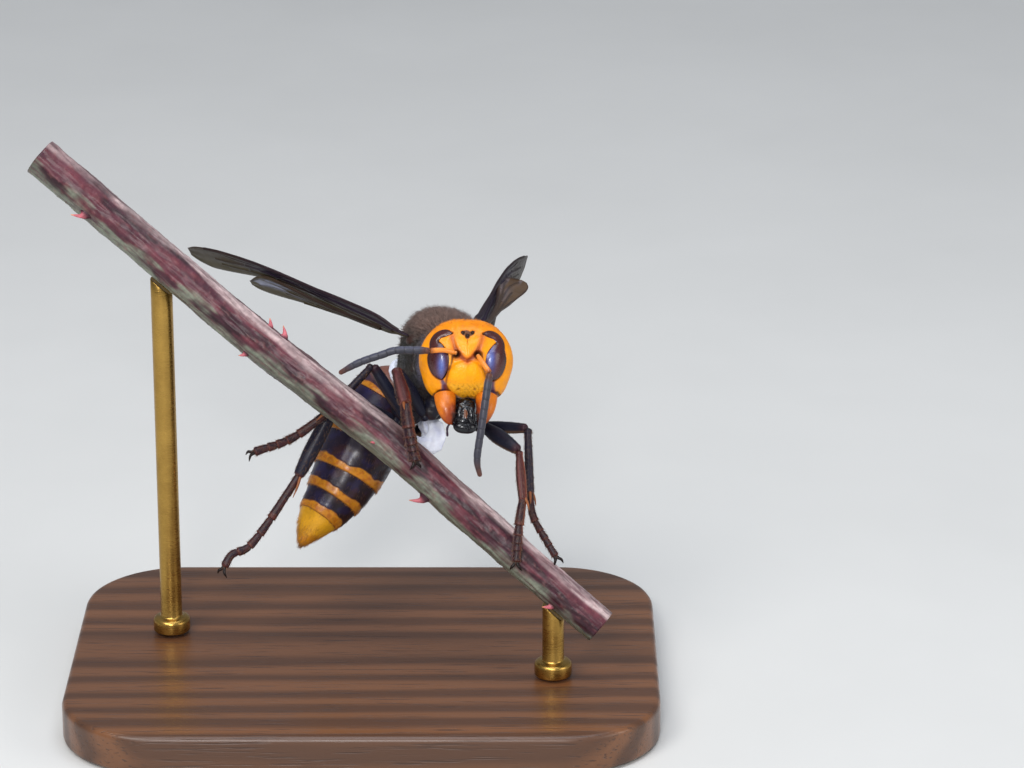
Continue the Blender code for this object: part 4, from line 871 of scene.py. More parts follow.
def build_eyes(kit):
    """Kidney-shaped eyes: rings along the eye's line, a half ellipse proud of the face and one sunk in it."""
    head, finish = kit.head, eye_finish()
    share, angles = capped(EYE_ROWS), circle(EYE_SIDES)
    line = smooth_line([(x, 0.0, z, half) for x, z, half in EYE_LINE], share)
    line, half = line[:, :3], (line[:, 3] + 0.03) * end_round(share, 0.05, 0.0025)
    along = unit(np.gradient(line, axis=0))
    across = np.column_stack((-along[:, 2], np.zeros(len(line)), along[:, 0]))
    rise = head.eye_rise * MM * np.clip(half / 0.8, 0.25, 1.12)
    rings = line[:, None, :] + half[:, None, None] * np.cos(angles)[None, :, None] * across[:, None, :]
    bulge = np.where(np.sin(angles) > 0, rise[:, None] * np.sin(angles) ** 2, 0.5 * np.sin(angles))
    rings[..., 1] = face_depth(np.clip(head_share(rings), 0, 1)) - bulge
    for word, hand in HANDS:
        seen = rings * (hand, 1, 1) @ HEAD.T
        reflection_x, reflection_z = REFLECTION_PLACES[word]
        away = np.hypot((seen[..., 0] - reflection_x) / REFLECTION_HALF_WIDTH,
                        (seen[..., 2] - reflection_z) / REFLECTION_HALF_HEIGHT)
        # Each big eye is darker towards its side edges; the blue spot and the wider mauve halo round it are a
        # painted reflection
        skin("eye_%s_lens" % word, seen, finish, layered(
            head.eye, ("1c0808", 0.7 * ease(np.abs(np.cos(angles)), 0.7, 1.0)),
            ("6a3c40", 0.35 * bell(away, 2.1)), (head.eye_bloom, 0.85 * bell(away, 1))))


def build_jaws(kit):
    """Jaws: flattened rings along a bent line, darker towards the tip, and three teeth on the inner edge."""
    head = kit.head
    finish = horn_finish("jaw_shell", (0.3, 0.42), 0.2, 0.2, (0.8, 0.16), (0.22, 0.012), (0.08, 0.005))
    share, angles = np.linspace(0, 1, JAW_ROWS), circle(JAW_SIDES)
    wide = np.interp(share, np.linspace(0, 1, 5), JAW_HALF_WIDTHS) * end_round(np.maximum(share, 0.14), 0.16)
    wide[:6] *= np.linspace(0.5, 1, 6)
    wide = np.convolve(np.pad(wide, 4, "edge"), np.ones(9) / 9, "valid")[:, None]
    teeth = sum(bell(share - at, 0.035) for at in JAW_TEETH)[:, None]
    for word, hand in HANDS:
        line = smooth_line([(hand * x, y, z) for x, y, z in JAW_LINE], share)
        side, top = square_to(line, (0.0, -1.0, 0.0))
        inner = np.sign((side * np.array((-hand, 0, 0.4))).sum(axis=1).mean()) * np.cos(angles)
        spread = wide * (1 + 0.2 * teeth * ease(inner, 0.55, 1.0))
        rings = (line[:, None, :] + np.cos(angles)[None, :, None] * spread[..., None] * side[:, None, :]
                 + (np.sin(angles) * wide * JAW_FLATNESS)[..., None] * top[:, None, :])
        red = ease(share[:, None] + 0.25 * inner + 0.06 * drift(rings, 0.9, 6), 0.25, 0.8)
        edge = ease(share[:, None] * 0.85 + 0.4 * inner + 0.06 * drift(rings, 0.7, 5), 0.66, 0.98)
        skin("mandible_%s_shell" % word, rings @ HEAD.T, finish,
             layered(head.jaw, ("8c300c", 0.9 * red), (head.jaw_tip, 0.95 * edge)))


def build_mouth(kit):
    """Mouthparts: a black lobed body, a brown tongue before it and two jointed palps, as tubes in one piece."""
    head, share = kit.head, np.linspace(0, 1, MOUTH_ROWS)

    def tube(points, wide, flat, sides, tone, lumps=0.0):
        """A flattened tube, lumpy by a drift that fades at its ends, turned with the head."""
        rings = rounds(smooth_line(points, share), wide, flat * wide, (0, -1, 0), sides)
        if lumps:
            rings = raised(rings, lumps * drift(rings, 0.8, 31) * end_round(share, 0.3)[:, None])
        return shell(rings @ HEAD.T, tone)

    def pair(points, *rest):
        """The same tube to the right and to the left."""
        return [tube([(hand * x, y, z) for x, y, z in points], *rest) for _, hand in HANDS]

    def widths(knots, values, span):
        """Half widths read between knots, rounded at both ends."""
        return np.interp(share, knots, values) * end_round(share, span)

    pinch = 1 - 0.25 * sum(bell(share - at, 0.03) for at in PALP_JOINTS)
    gather("mouthparts_skin", [
        tube(MOUTH_LINE, widths((0, 0.35, 0.75, 1), (1.0, 1.05, 1.15, 0.85), 0.24), 0.85, 40, head.mouth, 0.06),
        *pair(LOBE_LINE, widths((0, 0.4, 0.8, 1), (0.26, 0.32, 0.34, 0.2), 0.25), 0.7, 30, head.mouth),
        tube(CHIN_LINE, 0.6 * end_round(share, 0.4), 0.8, 36, head.mouth),
        tube(TONGUE_LINE, widths((0, 0.3, 0.7, 1), (0.14, 0.16, 0.24, 0.16), 0.15), 0.5, 28, head.tongue),
        *pair(PALP_LINE, 0.12 * pinch * end_round(share, 0.08), 1.0, 14, "3b2433"),
    ], horn_finish("mouth_shell", (0.16, 0.28), 0.4, 0.12, (0.4, 0.2), (0.16, 0.02), (0.06, 0.006), 0.0,
                   (0.75, 0.85, 1.0)))


FEELER_UP, STALK_ROWS, WHIP_ROWS, WHIP_SIDES, WHIP_RADIUS = (0.1, 0.3, 1.0), 90, 330, 26, 0.385
WHIP_JOINTS = np.concatenate(((0.05, 0.17), 0.17 + np.arange(1, 9) * 0.83 / 9))


def build_feelers(kit):
    """Feelers: a smooth stalk, and a whip of eleven joints, each pinched where it meets the next."""
    head = kit.head
    stalk_finish = horn_finish("stalk_shell", (0.25, 0.4), 0.35, 0.15, (0.8, 0.15), (0.14, 0.01), (0.05, 0.004))
    whip_finish = horn_finish("whip_shell", (0.35, 0.55), 0.15, 0.3, (0.35, 0.25), (0.05, 0.008), (0.03, 0.006),
                              0.2)
    for word, _ in HANDS:
        share = np.linspace(0, 1, STALK_ROWS)
        size = np.interp(share, (0, 0.5, 1), (0.23, 0.25, 0.28)) * end_round(share, 0.06)
        size *= 1 - 0.22 * bell(share - 0.1, 0.03) + 0.04 * bell(share - 0.05, 0.03)
        rings = rounds(smooth_line(STALKS[word], share), size, size, FEELER_UP)
        share = share[:, None]
        skin("antenna_stalk_%s_shell" % word, rings, stalk_finish, layered(
            head.stalk, ("6b2c14", 0.8 * ease(share, 0.78, 1.0)),
            (head.socket, 0.8 * (1 - ease(share, 0.02, 0.13)))))
        share = np.linspace(0, 1, WHIP_ROWS)
        line = smooth_line(WHIPS[word], share)
        size = WHIP_RADIUS * np.interp(share, (0, 0.1, 0.8, 1), (0.8, 1, 0.95, 0.6)) * end_round(share, 0.025)
        pinch = sum(bell(share - at, 0.0065) for at in WHIP_JOINTS)
        swell = np.interp(share, WHIP_JOINTS, np.arange(len(WHIP_JOINTS))) % 1
        size *= 1.0 - 0.06 * pinch + 0.03 * np.sin(np.pi * swell)
        rings = rounds(line, size, size, FEELER_UP, WHIP_SIDES)
        upper, share = unit(rings - line[:, None, :])[..., 2], share[:, None]
        # Painted sheen: the whips are paler blue-grey on their upper sides
        skin("antenna_whip_%s_shell" % word, rings, whip_finish, layered(
            head.whip, ("4c4d63", 0.55 * ease(upper, -0.1, 0.8)),
            (head.whip_tip, 0.85 * np.maximum(ease(share, 0.8, 1.0), 1 - ease(share, 0.03, 0.12))),
            ("120d10", 0.45 * np.clip(pinch, 0, 1)[:, None])))


# Thorax and gaster

def body_axes():
    """Unit directions towards the tail, out of the right flank and out of the back."""
    turn, dip = np.radians(BODY_TURN), np.radians(BODY_DIP)
    tail = np.array((-np.sin(turn) * np.cos(dip), np.cos(turn) * np.cos(dip), -np.sin(dip)))
    flank = np.array((-np.cos(turn), -np.sin(turn), 0.0))
    return tail, flank, np.cross(tail, flank)


def clear_of_head(points, gap=0.25):
    """Pushes points back in the head's own frame until they are a gap behind the back of the head."""
    own = points @ HEAD
    share = head_share(own)
    table = np.array(HEAD_BACK_RINGS)[::-1]
    behind = np.interp(share, table[:, 0], table[:, 1]) + gap
    own[..., 1] = np.where(share < 1.02, np.maximum(own[..., 1], behind), own[..., 1])
    return own @ HEAD.T


THORAX_ROWS, THORAX_SIDES, SCALE_ROWS, SCALE_RADIUS = 170, 200, 46, 0.85
# Where the pile's two pieces start and stop along the thorax
PILE_SPANS = ((0.0, 4.1), (4.1, 12.0))


def build_thorax(kit):
    """Thorax: rounded-square rings along the body axis, with its plates' seams and a coat of short pile."""
    body = kit.body
    tail, flank, back = body_axes()
    angles, power = circle(THORAX_SIDES), 2 / THORAX_SQUARENESS
    where, half, high, deep = smooth_rows(THORAX_STATIONS, np.linspace(0, 1, THORAX_ROWS)).T[..., None]
    cosine = squarish(np.cos(angles), power)
    height = np.where(np.sin(angles) > 0, high, deep) * squarish(np.sin(angles), power)
    along, up = np.broadcast_arrays(where, np.sin(angles))
    rings = (np.array(NECK_PLACE) + along[..., None] * tail + (half * cosine)[..., None] * flank
             + height[..., None] * back)
    out = outward(rings)

    def seam(at, width, depth, low=-2.0, top=2.0):
        """A bell-shaped groove across the body at a place along it, from one height up to another."""
        return -depth * bell(along - at, width) * ease(up, low, low + 0.25) * (1 - ease(up, top - 0.2, top))

    relief = seam(1.75 + 1.0 * (1 - np.abs(up)), 0.13, 0.16, -0.35)
    relief += seam(6.75 - 0.3 * np.cos(angles) ** 2, 0.12, 0.18, 0.1)
    relief += seam(8.1, 0.12, 0.16, -0.1) + seam(8.95, 0.14, 0.14, -0.6)
    relief += seam(4.0 + 0.8 * up, 0.13, 0.16, -1.2, 0.1) + seam(6.6 + 0.5 * up, 0.13, 0.14, -1.2, 0.0)
    lines = bell(np.abs(cosine) - 0.3, 0.035) * (up > 0.2)
    relief -= 0.05 * lines * ease(along, 2.6, 3.2) * (1 - ease(along, 6.0, 6.5))
    relief += 0.06 * drift(rings, 2.2, 12)
    shaped = clear_of_head(raised(rings, relief, out))
    collar = (1 - ease(along, 1.8, 2.8)) * ease(up, -0.65, -0.2) * (1 - ease(up, 0.6, 0.9))
    shield = ease(along, 6.8, 7.1) * (1 - ease(along, 7.9, 8.2)) * ease(up, 0.55, 0.8)
    finish = horn_finish("thorax_shell", (0.38, 0.6), 0.1, 0.3, (0.8, 0.25), (0.17, 0.03), (0.07, 0.012), 0.03)
    skin("thorax_skin", shaped, finish, layered(
        body.thorax, ("33241c", 0.4 + 0.4 * drift(rings, 2.5, 13)), (body.shoulder, 0.85 * collar),
        ("4a2414", 0.7 * shield)))
    at, aside, above = TEGULA_PLACE
    share = np.linspace(0, 1, SCALE_ROWS)
    size = SCALE_RADIUS * np.sqrt(np.clip(1 - (2 * share - 1) ** 2, 0.002, 1))
    for word, hand in HANDS:
        side = -hand * flank
        line = (np.array(NECK_PLACE) + aside * side + above * back - 0.22 * side
                + (at - 1.0 + 2.0 * share)[:, None] * tail)
        scale = rounds(line, size, 0.8 * size, back + 0.5 * side, 40)
        skin("wing_scale_" + word, scale, finish,
             blend(body.scale, "1e1412", 0.5 * (0.5 + 0.5 * drift(scale, 0.9, 14))))
    hair = hair_finish("thorax_pile", "thorax_shell", (0.6, 0.8), 0.04)
    weight = ((0.45 + 0.8 * ease(up, -0.2, 0.5)) * (1 - 0.8 * collar) * ease(along, 0.9, 1.5)
              * (1 - ease(along, 10, 11)))
    for number, (low, high) in enumerate(PILE_SPANS, start=1):
        part = weight * (along >= low) * (along < high)
        places = seeded(shaped, body.thorax_hairs // 2, THORAX_SEED + number, part)
        above = read_cells(up[..., None], places)[:, 0]
        tone = layered(body.pile, (body.pile_tip, 0.75 * ease(above, 0.35, 0.85)),
                       ("36353e", 0.6 * ease(-above, 0.1, 0.6)))
        size = body.pile_length * MM * (0.45 + 0.85 * ease(above, 0.3, 0.85))
        tufts("thorax_coat_%d" % number, shaped, places, outward(shaped, out), tail + 0.12 * back, size, 0.045,
              0.75, 0.5, tone, hair, 0.06)


# For each ring of the gaster: how wide its band is in mm, and its share of the hairs
GASTER_BANDS = (0.9, 1.35, 1.5, 1.3, 1.1, 0.0)
GASTER_HAIR_SHARES = (0.12, 0.3, 0.22, 0.15, 0.11, 0.1)
GASTER_ROWS, GASTER_SIDES, TUCK, GAP_BEHIND = 70, 168, 0.03, 0.06
LIP_SPAN, LIP_DROP, LIP_SHRINK = 0.06, 0.09, (0.93, 0.8)


def gaster_rings(number, start, stop, size):
    """One ring's own rings, its share along itself and its middle line; the lip curls in at the rear."""
    angles, final = circle(GASTER_SIDES), number == len(GASTER_BANDS)
    first, last = start - (TUCK if number > 1 else 0.0), stop - (0.0 if final else GAP_BEHIND / size)
    share = first + (last - first) * np.linspace(0, 1, GASTER_ROWS) ** 0.9
    line = smooth_line(GASTER_LINE, share)
    ahead, astern = (smooth_line(GASTER_LINE, np.clip(share + step, 0, 1))[:, :3] for step in (0.04, -0.04))
    side = unit(np.cross(ahead - astern, (1.0, 0.3, 0.0)))
    top = unit(np.cross(side, ahead - astern))
    local = (share - start) / (stop - start)
    swell = 0.12 * np.clip(-0.5 + 1.5 * local, 0.0 if number == 1 else -1.6, 1.0) * (not final)
    radius = (line[:, 3] + swell) * (end_round(share, 0.03) if number == 1 or final else 1.0)
    if not final:
        rim = np.clip((local - local[-1] + LIP_SPAN) / LIP_SPAN, 0, 1)
        radius = radius - LIP_DROP * (1 - np.sqrt(np.clip(1 - rim ** 2, 0, 1)))
    rings = (line[:, None, :3] + (radius[:, None] * np.cos(angles))[..., None] * side[:, None, :]
             + (0.95 * radius[:, None] * np.sin(angles))[..., None] * top[:, None, :])
    if not final:
        inner = rings[-1:].mean(axis=1, keepdims=True)
        rings = np.concatenate((rings, inner + (rings[-1:] - inner) * np.array(LIP_SHRINK)[:, None, None]))
        local = np.concatenate((local, local[-1:], local[-1:]))
    return rings, local[:, None], line[:, :3]


def build_gaster(kit):
    """Gaster: six rings, each tucked under the one before and ending in a thin, orange-banded lip."""
    body = kit.body
    size = np.linalg.norm(np.diff(np.array(GASTER_LINE)[:, :3], axis=0), axis=1).sum()
    finish = horn_finish("gaster_shell", (0.3, 0.44), 0.25, 0.22, (1.1, 0.2), (0.2, 0.008), (0.08, 0.004),
                         0.0, (0.6, 0.7, 1.0), 0.22)
    hair = hair_finish("gaster_hair", "gaster_shell", (0.4, 0.6), 0.1)
    for number, (start, stop) in enumerate(zip(GASTER_ENDS, GASTER_ENDS[1:]), start=1):
        rings, local, line = gaster_rings(number, start, stop, size)
        final, out = number == len(GASTER_BANDS), outward(rings)
        wave = drift(rings, 4.5, 50 + number, 1) + 0.22 * drift(rings, 1.4, 60 + number, 2)
        relief = 0.02 * drift(rings, 3.0, 70 + number, 2)
        before_rim = (local[-1] - local) * ((stop - start) * size)
        edge = GASTER_BANDS[number - 1] * (0.7 + 0.24 * wave)
        if not final:
            relief -= 0.02 * bell(before_rim - edge, 0.08)
        rings = raised(rings, relief, out)
        tone = blend(body.band, "a84c06", 0.5 * ease(drift(rings, 0.7, 95), 0.0, 0.8))
        if final:
            tone = layered(body.last, ("b05a08", 0.55 * ease(wave, 0.0, 0.9)),
                           ("4a2413", ease(local, 0.86, 1.0) * 0.7))
        # Painted sheen: blue-purple where the rings face up, and also in random patches
        paint = layered(
            body.ring, ("2e2a58", 0.3 * ease(out[..., 2], -0.2, 0.9) + 0.3 * ease(drift(rings, 2.4, 80), 0, 1)),
            ("4a2413", 0.35 * ease(drift(rings, 3.0, 90 + number), 0.1, 0.8)))
        if number == 1:
            dome = (1 - ease(local, 0.5, 0.75)) * ease(local, 0.08, 0.2) + 0.15 * drift(rings, 1.5, 97)
            paint = blend(paint, "8e5a44", 0.85 * np.clip(dome, 0, 1))
        paint = layered(paint, (tone, 1.0 if final else 1 - ease(before_rim, edge - 0.1, edge + 0.1)),
                        ("5a2c12", 0.7 * bell(before_rim, 0.07) * (not final)))
        skin("gaster_%d_shell" % number, rings, finish, paint)
        weight = ease(local, 0.12, 0.4) * (0.6 + ease(local, 0.6, 0.95)) * (local < local[-1] - 1e-6)
        hairs = int(body.gaster_hairs * GASTER_HAIR_SHARES[number - 1])
        places = seeded(rings, hairs, GASTER_SEED + number, weight)
        tufts("gaster_coat_%d" % number, rings, places, outward(rings, out), unit(line[-1] - line[0]),
              0.38 + 0.2 * final, 0.026, 0.35, 0.4, blend(read_cells(paint, places), "8a6238", 0.45), hair)


# Legs

def tapered(points, radii, rows, sides, up=(0.3, 1.0, 0.1), span=0.05):
    """A tube along a smooth line, its radius carried smoothly between values, rounded at both ends."""
    share = capped(rows)
    size = smooth_values(radii, share) * end_round(share, span)
    return rounds(smooth_line(points, share), size, size, up, sides), share[:, None]


def hook(points, radii, tone, rows=34, sides=14):
    """A curved spike in one colour."""
    return shell(tapered(points, radii, rows, sides, (0.2, 0.5, 1.0), 0.04)[0], tone)


LEG_SIDES, COXA_ROWS, FEMUR_ROWS, TIBIA_ROWS, FOOT_ROWS, FOOT_SIDES = 40, 60, 110, 100, 300, 32
# Rows without hairs where thigh, shin and foot are read as one grid: its two ends and the steps between
BARE_ROWS = [0, 1, 108, 109, 110, 208, 209, 210, 508, 509]
# For each leg: the red of its shin, the thickness of its foot, and its shin's radii where they are its own
LEG_LOOKS = {
    "front_right": (0.9, 1.8, (0.44, 0.56, 0.68, 0.72, 0.6)), "front_left": (0.95, 1.35, (0.3, 0.5, 0.42)),
    "middle_right": (0.1, 1.3, None), "middle_left": (0.1, 1.1, None),
    "hind_right": (0.05, 1.25, (0.46, 0.7, 0.78, 0.76, 0.54)), "hind_left": (0.15, 1.1, None),
}


def build_thigh(legs, root, knee, radii):
    """Thigh: a tapered tube, pinched behind the hip, paler below, as its rings and paint."""
    reach = unit(knee - root)
    thigh, share = tapered((root - 0.12 * reach, 0.5 * (root + knee), knee), radii, FEMUR_ROWS, LEG_SIDES)
    pinch = bell(share - 0.11, 0.025)
    thigh = raised(thigh, -0.16 * pinch * np.interp(share, np.linspace(0, 1, 5), radii))
    under = outward(thigh)[..., 2]
    return thigh, layered(
        legs.dark, ("2a2530", 0.5 * ease(under, 0, 1)), (legs.red, 0.5 * ease(share, 0.86, 0.98)),
        ("8b6a4c", 0.5 * bell(under + 0.75, 0.2) * ease(share, 0.2, 0.5)),
        ("150d0c", 0.6 * np.clip(pinch, 0, 1)))


def build_shin(legs, knee, heel, radii, front, shin_red, seed):
    """Shin: a tapered tube with a knob at the knee, redder on the front legs, as its rings and paint."""
    shin, share = tapered((knee, 0.5 * (knee + heel), heel), radii, TIBIA_ROWS, LEG_SIDES)
    shin = raised(shin, 0.08 * bell(share - 0.04, 0.04))
    out = outward(shin)
    red = blend(legs.dark, blend(legs.red, "4c1f1e", max(0.0, 2 * shin_red - 1.2)), shin_red)
    shadow = (0.5 + 0.5 * drift(shin, 1.6, seed)) * ease(-out[..., 2], -0.4, 0.8)
    paint = layered(red, (legs.dark, 0.45 * shadow), (legs.edge, 0.35 * ease(share, 0.94, 0.99)))
    if front:
        aside = out[..., 0]
        # On the front shins, the pinkish streak along the left side is a painted highlight
        paint = layered(paint, ("98462a", 0.8 * ease(aside, 0.55, 0.97)),
                        ("8a5a58", 0.5 * bell(aside + 0.45, 0.2) * ease(share, 0.1, 0.3)),
                        ("24121a", 0.8 * ease(-aside, 0.6, 0.95)))
    return shin, blend(paint, "1d0f0c", 0.6 * (1 - ease(share, 0.01, 0.06)))


def build_foot(legs, points, thickness, front, seed):
    """Foot: five joints, each flared towards its end, as rings, paint and middle line."""
    share = np.linspace(0, 1, FOOT_ROWS)
    line, local = smooth_line(points, share), np.zeros(FOOT_ROWS)
    for low, high in zip(TARSUS_ENDS, TARSUS_ENDS[1:]):
        inside = (share >= low) & (share <= high)
        local[inside] = (share[inside] - low) / (high - low)
    joint = sum(bell(share - at - 0.004, 0.008) for at in TARSUS_ENDS[1:-1])
    size = TARSUS_RADIUS * thickness * (0.88 + 0.2 * local ** 1.6)
    size *= (1 - 0.14 * np.clip(joint, 0, 1)) * np.where(share > 0.5, end_round(share, 0.03), 1.0)
    toes = rounds(line, size * 1.08, size * 0.92, (0.3, 1, 0.1), FOOT_SIDES)
    share, local = share[:, None], local[:, None]
    over = outward(toes)[..., 2]
    paint = layered(legs.foot, ("2a1016", 0.55 * np.sin(np.pi * np.clip(local, 0, 1)) * ease(over, -0.8, 0.4)),
                    (legs.edge, 0.3 * ease(local, 0.82, 0.98) + 0.1 * drift(toes, 0.8, seed)))
    if front:
        aside = (toes[..., 0] - line[:, None, 0]) / size[:, None]
        stripes = 0.5 + 0.5 * np.sin(share * 62 + 1.6 * np.abs(aside))
        # On the front feet, the pale pinkish grey along the left side is a painted highlight
        paint = layered(paint, ("1c0c14", 0.75 * ease(stripes, 0.4, 0.85) * ease(share, 0.35, 0.5)),
                        ("8e4628", 0.7 * ease(aside, 0.6, 0.97) * (1 - 0.6 * ease(share, 0.4, 0.6))),
                        ("7a6068", 0.5 * ease(-aside, 0.75, 1.0) * ease(share, 0.35, 0.5)))
    return toes, paint, line


def build_leg(kit, word, finish, hair, seed):
    """One leg: hip, thigh and shin as tapered tubes, a foot of five joints, spurs, claws and bristles."""
    legs = kit.legs
    hip, root, knee, heel, *foot = [np.array(p, dtype=float) for p in LEGS[word]]
    pair = word.split("_")[0]
    coxa_radii, femur_radii, tibia_radii = LEG_RADII[pair]
    shin_red, thickness, own_radii = LEG_LOOKS[word]
    along, reach, front = unit(heel - knee), unit(knee - root), pair == "front"

    rings, share = tapered((hip, root), coxa_radii, COXA_ROWS, LEG_SIDES, span=0.2)
    rings = raised(rings, 0.05 * drift(rings, 1.3, seed))
    skin("coxa_%s_shell" % word, rings, finish, layered(
        legs.dark, ("1c1618", 0.5 + 0.4 * drift(rings, 1.2, seed + 1)),
        (legs.foot, 0.6 * ease(share, 0.8, 0.97))))
    thigh, paint = build_thigh(legs, root, knee, femur_radii)
    skin("femur_%s_shell" % word, thigh, finish, paint)

    shin, paint = build_shin(legs, knee, heel, own_radii or tibia_radii, front, shin_red, seed + 2)
    parts = [shell(shin, paint)]
    sideways = unit(np.cross(along, np.cross(reach, along))) * (-1 if pair == "hind" else 1)
    other, long = np.cross(along, sideways), 1.7 if pair == "hind" else 1.0
    for spread in ((0.0,) if front else (-0.9, 0.9)):
        lean = unit(0.55 * sideways + spread * other) if spread else sideways
        start = heel - 0.45 * along + 0.2 * lean
        middle, tip = start + 0.75 * long * along + 0.35 * lean, start + 1.5 * long * along + 0.5 * lean
        parts.append(hook((start, middle, tip), (0.16, 0.13, 0.03), "8a5230", 26, 12))
    gather("tibia_%s_shell" % word, parts, finish)

    toes, paint, line = build_foot(legs, (heel - 0.15 * along, *foot), thickness, front, seed + 3)
    parts = [shell(toes, paint)]
    toe, onward = line[-1], unit(line[-1] - line[-12])
    down = np.array((0, 0.6, -0.8))
    down = unit(down - (down @ onward) * onward)
    aside = np.cross(onward, down)
    for hand in (-1, 1):
        middle = toe + 0.85 * (0.6 * onward + hand * 0.45 * aside)
        tip = toe + 0.85 * (0.95 * onward + hand * 0.7 * aside + 0.55 * down)
        parts.append(hook((toe - 0.35 * onward, toe + 0.2 * onward + hand * 0.16 * aside, middle, tip),
                          (0.17, 0.17, 0.13, 0.03), legs.claw))
    parts.append(hook((toe - 0.2 * onward, toe + 0.3 * onward + 0.05 * down), (0.16, 0.2, 0.12), "40251c", 20))
    gather("tarsus_%s_shell" % word, parts, finish)

    spans = (FEMUR_ROWS, TIBIA_ROWS, FOOT_ROWS)
    pick = np.linspace(0, LEG_SIDES - 1, FOOT_SIDES).astype(int)
    whole = np.concatenate((thigh[:, pick], shin[:, pick], toes))
    weight = np.repeat((0.35, 1.0, 1.25), spans)[:, None]
    weight[BARE_ROWS] = 0
    places = seeded(whole, legs.bristles, seed + 5, weight)
    flow = np.concatenate((np.tile(reach, (FEMUR_ROWS, 1)), np.tile(along, (TIBIA_ROWS, 1)),
                           unit(np.gradient(line, axis=0))))[:, None, :]
    on_thigh = places[0] < FEMUR_ROWS
    tone = blend(blend(legs.dark, "5a4a44", 0.4), "7a5a44", ~on_thigh)
    lie = read_cells(np.repeat(flow, FOOT_SIDES, axis=1), places)
    tufts("leg_coat_" + word, whole, places, outward(whole), lie, np.where(on_thigh, 0.22, 0.32), 0.026, 0.62,
          0.3, tone, hair, 0.03)


def build_legs(kit):
    """The six legs, each from its own line of joints."""
    finish = horn_finish("leg_shell", (0.34, 0.5), 0.08, 0.3, (0.9, 0.15), (0.13, 0.01), (0.06, 0.004),
                         level=0.22)
    hair = hair_finish("leg_bristles", "leg_shell", (0.4, 0.6), 0.05)
    for number, word in enumerate(LEGS):
        build_leg(kit, word, finish, hair, LEG_SEED + 10 * number)


# Wings

# Veins as places along and across a wing, each with its half thickness in mm
FORE_VEINS = (
    (((0.0, 0.1), (0.08, 0.06), (0.3, 0.045), (0.6, 0.04), (0.7, 0.05), (0.78, 0.04), (0.9, 0.03)), 0.13),
    (((0.02, 0.2), (0.12, 0.17), (0.3, 0.14), (0.5, 0.13), (0.6, 0.08)), 0.1),
    (((0.03, 0.5), (0.15, 0.42), (0.28, 0.36), (0.4, 0.34), (0.5, 0.2)), 0.08),
    (((0.03, 0.7), (0.15, 0.66), (0.33, 0.62), (0.48, 0.62), (0.62, 0.7)), 0.08),
    (((0.28, 0.36), (0.4, 0.55), (0.48, 0.62)), 0.06),
    (((0.4, 0.34), (0.52, 0.42), (0.64, 0.42), (0.76, 0.44), (0.86, 0.42)), 0.07),
    (((0.6, 0.08), (0.66, 0.2), (0.75, 0.22), (0.83, 0.06)), 0.08),
    (((0.5, 0.2), (0.55, 0.43)), 0.06), (((0.6, 0.12), (0.63, 0.42)), 0.06),
    (((0.7, 0.22), (0.71, 0.43)), 0.06), (((0.55, 0.43), (0.57, 0.66)), 0.06),
    (((0.48, 0.62), (0.6, 0.72), (0.72, 0.7), (0.84, 0.66)), 0.06),
    (((0.68, 0.43), (0.7, 0.7)), 0.05), (((0.2, 0.65), (0.3, 0.85), (0.4, 0.93)), 0.06),
)
HIND_VEINS = (
    (((0.04, 0.2), (0.2, 0.12), (0.38, 0.08), (0.55, 0.07), (0.66, 0.12)), 0.09),
    (((0.04, 0.5), (0.2, 0.38), (0.34, 0.3), (0.46, 0.28), (0.58, 0.24)), 0.07),
    (((0.34, 0.3), (0.44, 0.42), (0.55, 0.48), (0.63, 0.5)), 0.06),
    (((0.05, 0.75), (0.2, 0.66), (0.36, 0.62), (0.5, 0.66)), 0.06), (((0.34, 0.3), (0.36, 0.62)), 0.05),
    (((0.46, 0.08), (0.47, 0.28)), 0.05), (((0.2, 0.66), (0.3, 0.85), (0.42, 0.92)), 0.05),
)
WING_ROWS, WING_COLUMNS = 300, 60


def wing_finish():
    """Membrane: the piece's paint and see-through share, smoky noise, fine wrinkles and a thin clear gloss."""
    material, tree, shader, where = new_finish("wing_membrane")
    dent(tree, shader, noise(tree, where, 0.3, 3.0), 0.006)
    feed(shader, Base_Color=times(tree, painted(tree), swing(tree, noise(tree, where, 1.6, 4.0), 0.8, 1.25)),
         Alpha=painted(tree, "Alpha"), Roughness=swing(tree, noise(tree, where, 0.8), 0.36, 0.52),
         Coat_Weight=0.06, Coat_Roughness=0.3, Specular_IOR_Level=0.2)
    return material, "wing_membrane"


def wing_paint(name, wings, hand, grid, chord, share, rim, vein, near_vein):
    """The membrane's colours and how much of it shows: denser at the veins and edges, paler in the panes."""
    smoke = drift(grid * (0.4, 1, 1), 2.2, 310)
    if name.startswith("fore"):
        # Painted shade: the left forewing's ground is darker than the right one's
        ground = blend(wings.membrane, "221a18", 0.0 if hand > 0 else 0.6)
        paint = blend(ground, wings.strip, (1 - ease(chord, 0.35, 0.75)) * (1 - 0.75 * ease(share, 0.6, 0.8)))
        clear = 1.0 - 0.07 * ease(share, 0.6, 0.85) + 0.02 * smoke
    else:
        streak = (ease(drift(grid * (0.12, 1, 1), 1.3, 320, 2), -0.2, 0.6) * ease(0.75 - chord, 0, 0.35)
                  * ease(share, 0.25, 0.45))
        paint = blend(wings.membrane, wings.pane, 0.8 * streak * ease(rim, 0.15, 0.45))
        paint = blend(paint, "5a4434", 0.75 if name.endswith("left") else 0.0)
        clear = 0.92 + 0.05 * streak + 0.02 * smoke
    paint = layered(paint, ("2c1a18", 0.7 * (1 - ease(rim + 0.05 * smoke, 0.03, 0.22))),
                    (wings.vein, 0.6 * near_vein))
    clear = np.clip(np.maximum(clear, np.maximum(vein, 1 - ease(rim, 0.05, 0.2)) * 0.97), 0, 1)
    return np.concatenate((paint, clear[..., None]), axis=2)


